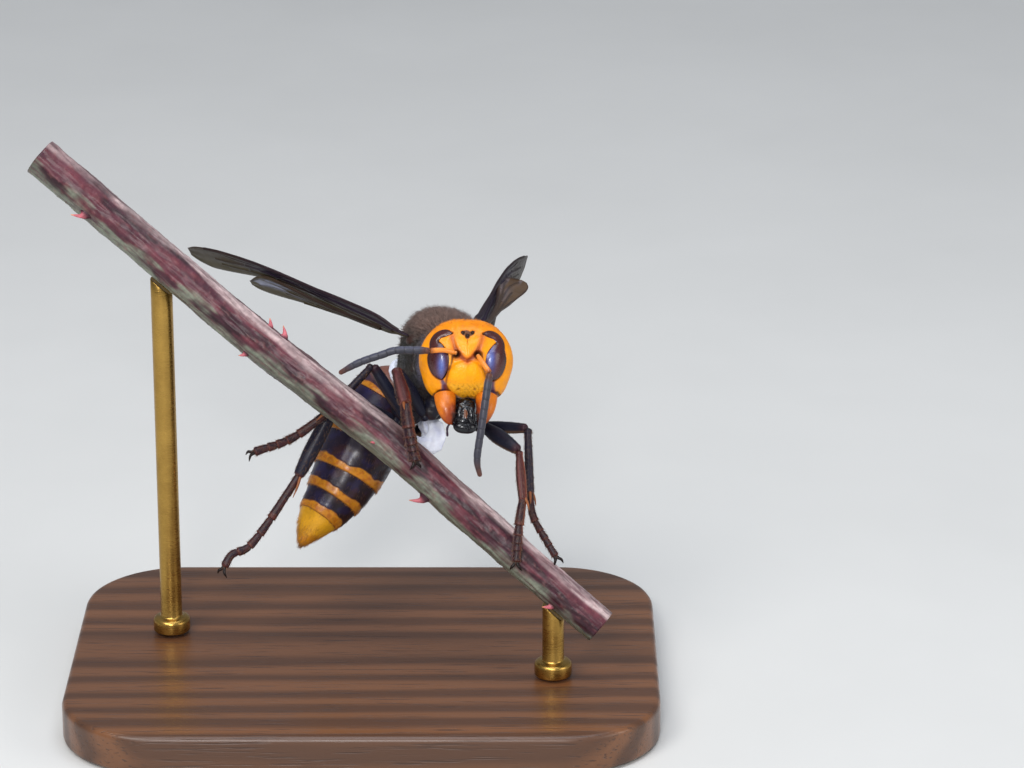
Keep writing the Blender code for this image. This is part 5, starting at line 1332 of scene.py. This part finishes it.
def build_wing(kit, name, place, hand, edges, veins, twist, drop, trim, shift, finish):
    """A wing: across each row a thin slab between two edge curves, its veins raised on both faces.

    Height is half the membrane plus the vein rise times a bell of the distance to the nearest vein.
    """
    wings = kit.wings
    root, tip = np.array(place["root"]), np.array(place["tip"])
    size = np.linalg.norm(tip - root)
    along = (tip - root) / size
    cx, cz = place["chord"]
    across = unit((cx, -(along[0] * cx + along[2] * cz) / along[1], cz))
    table = np.array(edges, dtype=float)
    share = table[0, 0] + (table[-1, 0] - table[0, 0]) * np.linspace(0, 1, WING_ROWS)
    front, rear = (settled(np.pad(np.interp(share, table[:, 0], column), 8, "edge"), 8, 3.5)
                   for column in table[:, 1:].T)
    front = front + shift + trim * np.clip((share - 0.04) / 0.1, 0, 1) * np.clip((1 - share) / 0.05, 0, 1)
    rear = rear + shift
    turn = np.radians(twist * share)[:, None]
    across = across * np.cos(turn) + np.cross(along, across) * np.sin(turn)
    under = hand * np.cross(along, across)
    chord = np.linspace(0, 1, WING_COLUMNS)
    width = front[:, None] + (rear - front)[:, None] * chord
    reach = np.broadcast_to(share[:, None] * size, width.shape)
    nearest = np.full(width.shape, 1e9)
    for line, thick in veins:
        line = np.array(line)
        fine = smooth_line(np.column_stack((line, 0 * line[:, 0])), np.linspace(0, 1, 14))
        ahead, behind = (np.interp(fine[:, 0], share, edge) for edge in (front, rear))
        course = np.column_stack((fine[:, 0] * size, ahead + (behind - ahead) * fine[:, 1]))
        nearest = np.minimum(nearest, off_line(reach, width, course) - thick)
    nearest = np.clip(nearest, 0, None)
    vein = bell(nearest, 0.06)
    rim = np.minimum(chord, 1 - chord)[None, :] * np.abs(rear - front)[:, None]
    rim = np.minimum(rim, (np.minimum(share - share[0], share[-1] - share) * size)[:, None])
    spine = root + share[:, None] * (tip - root) + (drop - WING_ARCH * np.sin(np.pi * share))[:, None] * under
    grid = np.stack((reach, width, 0 * reach), axis=-1)
    folds = (0.02 * np.sin(chord * 5 * np.pi) * ease(rim, 0.0, 0.4)
             + 0.03 * drift(grid * (0.3, 1, 1), 2.2, 300, 2))
    under = under[:, None, :]
    middle = spine[:, None, :] + width[..., None] * across[:, None, :] + folds[..., None] * under
    half = (0.5 * wings.thickness * MM + wings.vein_rise * MM * vein) * (0.3 + 0.7 * ease(rim, 0.0, 0.12))
    upper, lower = middle - half[..., None] * under, middle + half[..., None] * under
    paint = wing_paint(name, wings, hand, grid, chord, share[:, None], rim, vein, bell(nearest, 0.05))
    skin(name + "_sheet", np.concatenate((upper, lower[:, ::-1]), axis=1), finish,
         np.concatenate((paint, paint[:, ::-1]), axis=1))


def build_wings(kit):
    """The four wings, a forewing and a hindwing on each side."""
    finish = wing_finish()
    for word, place in WINGS.items():
        hand = 1 if word == "right" else -1
        build_wing(kit, "forewing_" + word, place, hand, FOREWING_EDGES, FORE_VEINS, place["fore_twist"], 0.0,
                   place["front_trim"], 0.0, finish)
        build_wing(kit, "hindwing_" + word, place, hand, HINDWING_EDGES, HIND_VEINS, place["hind_twist"],
                   HINDWING_DROP, 0.0, place["hind_shift"], finish)


# Marker, cane and stand

BAND_TURNS, BAND_LAPS, BAND_CORNER = 150, 28, 0.45


def build_marker(kit):
    """Marker: a flat strip bent into a ring about the waist, and a crumpled loose end as a flattened tube."""
    material, tree, shader, where = new_finish("marker_white")
    finish = material, "marker_white"
    fibres = noise(tree, where, 0.35, 5.0, 0.65)
    dent(tree, shader, noise(tree, where, 0.5, 5.0), 0.06)
    feed(shader, Base_Color=times(tree, painted(tree), swing(tree, fibres, 0.94, 1.04)),
         Roughness=swing(tree, fibres, 0.5, 0.75), Sheen_Weight=0.2, Specular_IOR_Level=0.4)
    axis = unit(BAND_AXIS)
    side = unit(np.cross(axis, (0.0, 0.0, 1.0)))
    up = np.cross(side, axis)
    turns, laps = circle(BAND_TURNS)[:, None], circle(BAND_LAPS)
    inner, outer = BAND_RADII
    round_out, round_up = squarish(np.cos(laps), BAND_CORNER), squarish(np.sin(laps), BAND_CORNER)
    radius = (0.5 * (inner + outer) + 0.5 * (outer - inner) * round_out
              + 0.06 * np.sin(3 * turns) * (round_out > 0))
    shift = 0.5 * round_up * (1 + 0.08 * np.sin(2 * turns))
    ray = (np.cos(turns) * side + np.sin(turns) * up)[:, None, :]
    grid = np.array(BAND_PLACE) + radius[..., None] * ray + shift[..., None] * axis
    grid += (0.04 * drift(grid, 0.8, 400))[..., None] * ray
    tone = blend(kit.body.marker, "ccd0e6", 0.35 * (0.5 + 0.5 * drift(grid, 0.7, 401)))
    here = np.arange(BAND_TURNS)[:, None] * BAND_LAPS + np.arange(BAND_LAPS)
    after = np.roll(here, -1, axis=0)
    faces = np.stack((here, np.roll(here, -1, axis=1), np.roll(after, -1, axis=1), after), axis=-1)
    put("marker_band_strip", grid.reshape(-1, 3), [faces.reshape(-1, 4)], finish, tone.reshape(-1, 3))
    share = capped(120)
    wide = smooth_values(TAIL_HALF_WIDTHS, share) * end_round(share, 0.06)
    rings = rounds(smooth_line(TAIL_LINE, share), wide, 0.3 * wide, (-0.5, -0.8, -0.3), 90)
    crumple = 0.11 * drift(rings, 1.7, 402, 2) + 0.04 * np.abs(drift(rings, 0.8, 403, 2))
    # Painted shade: the loose end is bluish grey in the hollows of its crumples
    skin("marker_tail_strip", raised(rings, crumple * end_round(share, 0.15)[:, None]), finish,
         blend(kit.body.marker, "b8c0ea", 0.45 * ease(-crumple, -0.05, 0.12)))


def cane_finish():
    """Bark: the piece's paint under streaks that run along the cane, patches and fine dents."""
    material, tree, shader, where = new_finish("cane_bark")
    course = placed(tree, where, Rotation=(0.0, np.radians(39.0), 0.0))
    streak = noise(tree, placed(tree, course, Scale=(0.15, 1.0, 1.0)), 0.5, 5.0, 0.6)
    patches = noise(tree, where, 2.4, 5.0, 0.6)
    furrows = dent(tree, shader, streak, 0.05)
    dent(tree, shader, noise(tree, where, 0.14, 4.0), 0.012, furrows)
    feed(shader, Base_Color=times(tree, painted(tree), swing(tree, streak, 0.75, 1.2),
                                  swing(tree, patches, 0.85, 1.12)),
         Roughness=swing(tree, patches, 0.34, 0.55), Coat_Weight=0.12, Coat_Roughness=0.3,
         Specular_IOR_Level=0.3)
    return material, "cane_bark"


def prickle(perch, at, turn, tall):
    """One prickle: a tube from a broad foot in the bark to a thin tip, swept towards the cane's upper end."""
    here, ahead = smooth_line(CANE_LINE, np.array((at, at + 0.01)))
    along = unit(ahead[:3] - here[:3])
    upward = unit(np.cross(np.cross(along, (0, 0, 1.0)), along))
    forward = unit(np.cross(upward, along))
    forward = -forward if forward[1] > 0 else forward
    ray = np.cos(np.radians(turn)) * upward + np.sin(np.radians(turn)) * forward
    foot, reach = here[:3] + (here[3] - PRICKLE_SINK) * ray, tall + PRICKLE_SINK
    step = np.linspace(0, 1, 40)
    spine = smooth_line((foot, foot + 0.5 * reach * ray - 0.12 * tall * along,
                         foot + reach * ray - 0.85 * tall * along), step)
    size = np.interp(step, (0, 0.2, 0.45, 0.75, 1), (0.6, 0.36, 0.16, 0.09, 0.02))
    size *= 0.6 + 0.4 * min(tall, 1.0)
    spike = rounds(spine, size, 1.5 * size, along + 0.1, 26)
    spike[-1] = spine[-1] + 0.3 * (spike[-1] - spine[-1])
    step = step[:, None]
    return shell(spike, layered(perch.bark, (perch.prickle, ease(step, 0.2, 0.5)),
                                ("c98a4a", 0.7 * ease(step, 0.75, 1.0))))


CANE_ROWS, CANE_SIDES, PRICKLE_SINK, BARK_STRETCH = 430, 110, 0.35, 0.14
CUT_SHARES = np.array((0.02, 0.12, 0.13, 0.3, 0.5, 0.7, 0.86, 0.9, 0.985))


def build_cane(kit):
    """Cane: rings along a slightly wavy line, five low ribs, bark furrows, and prickles swept upwards."""
    perch, angles = kit.perch, circle(CANE_SIDES)
    share = np.linspace(0, 1, CANE_ROWS)
    line = smooth_line(CANE_LINE, share)
    path, radius, share = line[:, :3], line[:, 3], share[:, None]
    rib = 0.5 + 0.5 * np.cos(CANE_RIDGES * angles + CANE_TWIST * share)
    rings = rounds(path, radius, radius, (0, 1, 0), CANE_SIDES)
    ray = unit(rings - path[:, None, :])
    distance = np.concatenate(([0], np.cumsum(np.linalg.norm(np.diff(path, axis=0), axis=1))))[:, None]
    radius, turned_by = radius[:, None], angles + 0.4 * share
    own = np.stack(np.broadcast_arrays(distance * BARK_STRETCH, radius * np.cos(turned_by),
                                       radius * np.sin(turned_by)), axis=-1)
    wide = own * (0.5 / BARK_STRETCH, 1, 1)
    furrow = drift(own, 0.75, 500) + 0.6 * drift(own, 0.3, 501)
    warts = ease(drift(wide, 0.55, 503, 2), 0.72, 0.95)
    relief = -0.05 * radius * rib + 0.035 * furrow + 0.06 * drift(wide, 5.0, 502) + 0.03 * warts
    shaped = raised(rings, relief, ray)
    lit = ray[..., 2]
    # Painted highlight: pale pink where the bark faces up, broken into patches
    highlight = ease(lit + 0.16 * drift(own, 2.0, 505), 0.3, 0.66)
    highlight = highlight * (0.5 + 0.5 * ease(drift(wide * (0.4, 1, 1), 4.0, 511), -0.5, 0.3))
    under = ease(-lit + 0.25 * drift(wide, 3.0, 506) + 0.12 * drift(own, 0.8, 507), 0.2, 0.6)
    dark = ease(drift(wide * (0.45, 1, 1), 3.2, 508) + 0.35 * drift(own, 1.0, 509), 0.15, 0.5)
    # The blotches are kept off the painted highlight and off the grey-green underside
    paint = layered(
        perch.bark, ("5e2a34", 0.5 + 0.5 * drift(own, 1.2, 504)), (perch.bark_highlight, 0.85 * highlight),
        (perch.bark_under, 0.85 * under), (perch.blotch, 0.85 * dark * (1 - 0.6 * under) * (1 - 0.6 * highlight)),
        ("4b1d2e", 0.45 * ease(-furrow, 0.1, 0.9)), ("7a4a48", 0.25 * warts))
    cut = CUT_SHARES[:, None, None]
    rind = (CUT_SHARES > 0.88) & (CUT_SHARES < 0.95)
    pale = layered(perch.pith, ("e0d3b2", CUT_SHARES < 0.13), ("6f7a3f", 0.8 * rind))
    pale = pale[:, None, :] * (1 + 0.12 * drift(shaped[0] * cut, 0.5, 510))[..., None]
    ends = [path[at] + cut * (shaped[at] - path[at]) for at in (0, -1)]
    whole = np.concatenate((ends[0], shaped, ends[1][::-1]))
    gather("perch_cane_bark", [shell(whole, np.concatenate((pale, paint, pale[::-1]))),
                               *(prickle(perch, *place) for place in PRICKLES)], cane_finish())


# The base's edge from its underside up: how far in, and how high as a quarter of its height
BASE_EDGE = ((0.5, 0.0), (0.25, 0.05), (0.05, 0.2), (0.0, 0.45),
             *((0.0, up) for up in np.linspace(0.7, 3.1, 8)),
             (0.0, 3.4), (0.05, 3.62), (0.2, 3.85), (0.45, 3.97), (0.6, 4.0))
BASE_CORNER, BASE_SHRINKS = 10.0, (0.9, 0.7, 0.4, 0.1)


def cad_box(node):
    """The two corners of a node's box, in mm."""
    return (np.array(corner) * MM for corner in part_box(node))


def build_base(kit):
    """Base: a rounded-corner outline carried up through heights, with softened edges, in oiled wood."""
    perch = kit.perch
    low, high = cad_box("stand_base")
    middle, half = 0.5 * (low + high), 0.5 * (high - low)
    turns = np.linspace(0, 2 * np.pi, 241)[:-1]
    round_part = np.column_stack((np.cos(turns), np.sin(turns)))
    straight_part = np.clip(round_part * 1e3, -1, 1) * (half[:2] - BASE_CORNER)
    levels = [(straight_part + (BASE_CORNER - back) * round_part, low[2] + up * (high[2] - low[2]) / 4.0)
              for back, up in BASE_EDGE]
    below, above = ([(levels[at][0] * shrink, levels[at][1]) for shrink in BASE_SHRINKS] for at in (0, -1))
    rings = np.stack([np.column_stack((row + middle[:2], np.full(len(row), height)))
                      for row, height in below[::-1] + levels + above])
    material, tree, shader, where = new_finish("base_wood")
    drawn = placed(tree, where, Scale=(0.06, 1.0, 1.0), Rotation=(0.0, 0.05, 0.03))
    grain = add(tree, "TexWave", {"wave_type": "RINGS", "rings_direction": "X"}, Vector=drawn, Scale=90.0,
                Distortion=5.0, Detail=3.0, Detail_Scale=1.5).outputs["Fac"]
    pores = noise(tree, placed(tree, where, Scale=(0.04, 1.0, 1.0)), MM / 4200, 2.0, 0.5)
    wood = mixed(tree, ranged(tree, grain, 0.2, 0.9, 0.0, 0.7), perch.wood, perch.wood_dark)
    wood = times(tree, wood, swing(tree, noise(tree, drawn, MM / 120, 3.0, 0.5), 0.8, 1.2))
    dent(tree, shader, ranged(tree, pores, 0.55, 0.7, 1.0, 0.0), 0.03)
    feed(shader, Base_Color=mixed(tree, ranged(tree, pores, 0.58, 0.68, 0.0, 0.7), wood, perch.wood_dark),
         Roughness=ranged(tree, grain, 0.0, 1.0, 0.34, 0.46), Coat_Weight=0.25, Coat_Roughness=0.25)
    skin("stand_base_plate", upright(rings), (material, "base_wood"))


ROD_SIDES, ROD_PLACES = 72, (("high", 0.215), ("low", 0.915))
# Radii and heights of a rod from its foot up, and then radii of its top with how far each lies below the cane
ROD_PROFILE = ((0.2, 0.0), (1.6, 0.0), (1.85, 0.08), (1.9, 0.2), (1.9, 1.15), (1.86, 1.32), (1.74, 1.46),
               (1.55, 1.56), (1.3, 1.6), (1.15, 1.66), (1.1, 1.8), (1.1, 4.0))
ROD_TOP = ((1.1, 0.12), (1.06, 0.03), (0.98, 0.0), (0.6, 0.0), (0.15, 0.0))


def build_rods(kit):
    """Rods: a profile of radii turned about an upright axis; the top follows the underside of the cane."""
    material, tree, shader, where = new_finish("rod_brass")
    lines = noise(tree, placed(tree, where, Scale=(1.0, 1.0, 14.0)), MM / 900, 3.0, 0.5)
    stain = ranged(tree, noise(tree, where, 2.5, 4.0), 0.35, 0.7, 0.0, 0.55)
    dent(tree, shader, lines, 0.01)
    feed(shader, Base_Color=mixed(tree, stain, kit.perch.brass, shade("8a6a35")),
         Roughness=swing(tree, lines, 0.22, 0.4), Metallic=1.0)
    turns = circle(ROD_SIDES)
    ring = np.column_stack((np.cos(turns), np.sin(turns)))
    for word, at in ROD_PLACES:
        foot = next(cad_box("stand_rod_" + word))[2]
        line = smooth_line(CANE_LINE, np.array((at - 0.02, at, at + 0.02)))
        before, middle, ahead = world(line[:, :3]) * MM
        axis, clearance = unit(ahead - before), line[1, 3] + 0.3

        def top(radius, lower):
            """A ring on the cylinder about the cane: the lower root of a square equation for its height."""
            flat = np.column_stack((middle[:2] + radius * ring, np.zeros(ROD_SIDES)))
            offset = flat - middle
            off, rise = offset - (offset @ axis)[:, None] * axis, np.array((0, 0, 1.0)) - axis[2] * axis
            a, b, c = rise @ rise, off @ rise, (off * off).sum(axis=1) - clearance ** 2
            flat[:, 2] = (-b - np.sqrt(b * b - a * c)) / a - lower
            return flat

        rows = [np.column_stack((middle[:2] + r * ring, np.full(ROD_SIDES, foot + h))) for r, h in ROD_PROFILE]
        tops = [top(*place) for place in ROD_TOP]
        rise = [rows[-1] * (1 - step) + tops[0] * step for step in np.linspace(0.15, 0.95, 9)]
        skin("stand_rod_%s_turned" % word, upright(np.stack(rows + rise + tops)), (material, "rod_brass"))


# Name, place and aim in metres, size, power and colour of each lamp
LAMPS = (("lamp_key", (-0.22, -0.30, 0.42), (0, 0, 0.03), 0.26, 1.5, (1.0, 0.98, 0.95)),
         ("lamp_front", (-0.04, -0.52, 0.3), (0, 0, 0.035), 0.12, 1.5, (1.0, 0.98, 0.97)),
         ("lamp_sky", (0.05, -0.05, 0.55), (0, 0, 0.03), 0.4, 1.5, (0.86, 0.92, 1.0)),
         ("lamp_side", (0.42, -0.2, 0.2), (0, 0, 0.03), 0.3, 0.6, (1.0, 0.97, 0.93)))
FLOOR_HALF, FLOOR_STEPS, FLOOR_BELOW = 3.0, 8, -0.0002
LENS_MM, CAMERA_PLACE = 140.6, (4.6, -400.0, -2.4)


def build_stage(kit):
    """Stage: a wide pale floor, four soft lamps, a faint sky, and the camera."""
    scene = bpy.context.scene
    material, tree, shader, where = new_finish("stage_floor")
    soft = swing(tree, noise(tree, where, 60.0, 4.0), 0.0, 1.0)
    feed(shader, Base_Color=mixed(tree, soft, kit.perch.floor, [0.95 * c for c in kit.perch.floor]),
         Roughness=swing(tree, noise(tree, where, 8.0), 0.6, 0.75), Specular_IOR_Level=0.15)
    side = np.linspace(-FLOOR_HALF, FLOOR_HALF, FLOOR_STEPS + 1)
    x, y = np.meshgrid(side, side + 0.8)
    here = (np.arange(FLOOR_STEPS)[:, None] * (FLOOR_STEPS + 1) + np.arange(FLOOR_STEPS)).ravel()
    mesh = bpy.data.meshes.new("stage_floor")
    mesh.from_pydata(np.column_stack((x.ravel(), y.ravel(), np.full(x.size, FLOOR_BELOW))).tolist(), [],
                     (here[:, None] + (0, 1, FLOOR_STEPS + 2, FLOOR_STEPS + 1)).tolist())
    mesh.materials.append(material)
    floor = bpy.data.objects.new("stage_floor", mesh)
    scene.collection.objects.link(floor)
    for name, place, aim, size, power, tint in LAMPS:
        light = bpy.data.lights.new(name, "AREA")
        light.shape, light.size, light.energy, light.color = "DISK", size, power, tint
        lamp = bpy.data.objects.new(name, light)
        scene.collection.objects.link(lamp)
        lamp.location = place
        lamp.rotation_euler = (Vector(place) - Vector(aim)).to_track_quat("Z", "Y").to_euler()
    sky = bpy.data.worlds.new("stage_sky")
    sky.use_nodes = True
    feed(sky.node_tree.nodes["Background"], Color=(0.86, 0.91, 1.0, 1.0), Strength=0.3)
    scene.world = sky
    scene.view_settings.view_transform = "Standard"
    lens = bpy.data.cameras.new("camera_front")
    lens.sensor_width, lens.lens = 36.0, LENS_MM
    lens.clip_start, lens.clip_end = 0.01, 20.0
    camera = bpy.data.objects.new("camera_front", lens)
    scene.collection.objects.link(camera)
    camera.location = world(CAMERA_PLACE)
    camera.rotation_euler = (np.radians(90 - LEAN), 0.0, 0.0)
    scene.camera = camera


# Operators, panel and the run

def operator(name, label, text, build):
    """An operator class that builds one piece or one group of like pieces from the kit's settings."""
    def execute(self, context):
        """Builds the piece."""
        build(context.scene.hornet_kit)
        return {"FINISHED"}

    return type("HORNET_OT_" + name, (bpy.types.Operator,), {
        "bl_idname": "hornet." + name, "bl_label": label, "__doc__": text, "execute": execute})


OPERATORS = (
    operator("head", "Head", "Builds the head's shell and its short hairs", build_head),
    operator("eyes", "Eyes", "Builds the two big eyes", build_eyes),
    operator("jaws", "Jaws", "Builds the two jaws", build_jaws),
    operator("mouth", "Mouthparts", "Builds the mouthparts", build_mouth),
    operator("feelers", "Feelers", "Builds the stalks and whips of the feelers", build_feelers),
    operator("thorax", "Thorax", "Builds the thorax, its wing scales and its pile", build_thorax),
    operator("gaster", "Gaster", "Builds the six rings of the gaster and their hairs", build_gaster),
    operator("legs", "Legs", "Builds the six legs with spurs, claws and bristles", build_legs),
    operator("wings", "Wings", "Builds the four wings", build_wings),
    operator("marker", "Marker", "Builds the white marker and its loose end", build_marker),
    operator("cane", "Cane", "Builds the bramble cane and its prickles", build_cane),
    operator("base", "Base", "Builds the wooden base", build_base),
    operator("rods", "Rods", "Builds the two brass rods", build_rods),
    operator("stage", "Stage", "Builds the floor, the lamps and the camera", build_stage),
)


class HORNET_PT_panel(bpy.types.Panel):
    """Lists the pieces to build and their settings."""
    bl_idname = "HORNET_PT_panel"
    bl_label = "Hornet on a cane"
    bl_space_type = "VIEW_3D"
    bl_region_type = "UI"
    bl_category = "Hornet"

    def draw(self, context):
        """A button for each operator, then a box for each group of settings."""
        kit = context.scene.hornet_kit
        for made in OPERATORS:
            self.layout.operator(made.bl_idname)
        for part in ("head", "body", "legs", "wings", "perch"):
            box = self.layout.box()
            box.label(text=part.capitalize())
            group = getattr(kit, part)
            for key in group.__annotations__:
                box.prop(group, key)


CLASSES = (HornetHead, HornetBody, HornetLegs, HornetWings, HornetPerch, HornetKit, *OPERATORS, HORNET_PT_panel)


def register():
    """Registers the classes and hangs the settings on the scene."""
    for item in CLASSES:
        bpy.utils.register_class(item)
    bpy.types.Scene.hornet_kit = bpy.props.PointerProperty(type=HornetKit)


def unregister():
    """Takes the settings and the classes away again."""
    del bpy.types.Scene.hornet_kit
    for item in reversed(CLASSES):
        bpy.utils.unregister_class(item)


def main():
    """Builds every piece through its operator and writes the two boxes that show the size."""
    register()
    for made in OPERATORS:
        group, name = made.bl_idname.split(".")
        getattr(getattr(bpy.ops, group), name)()


if __name__ == "__main__":
    main()
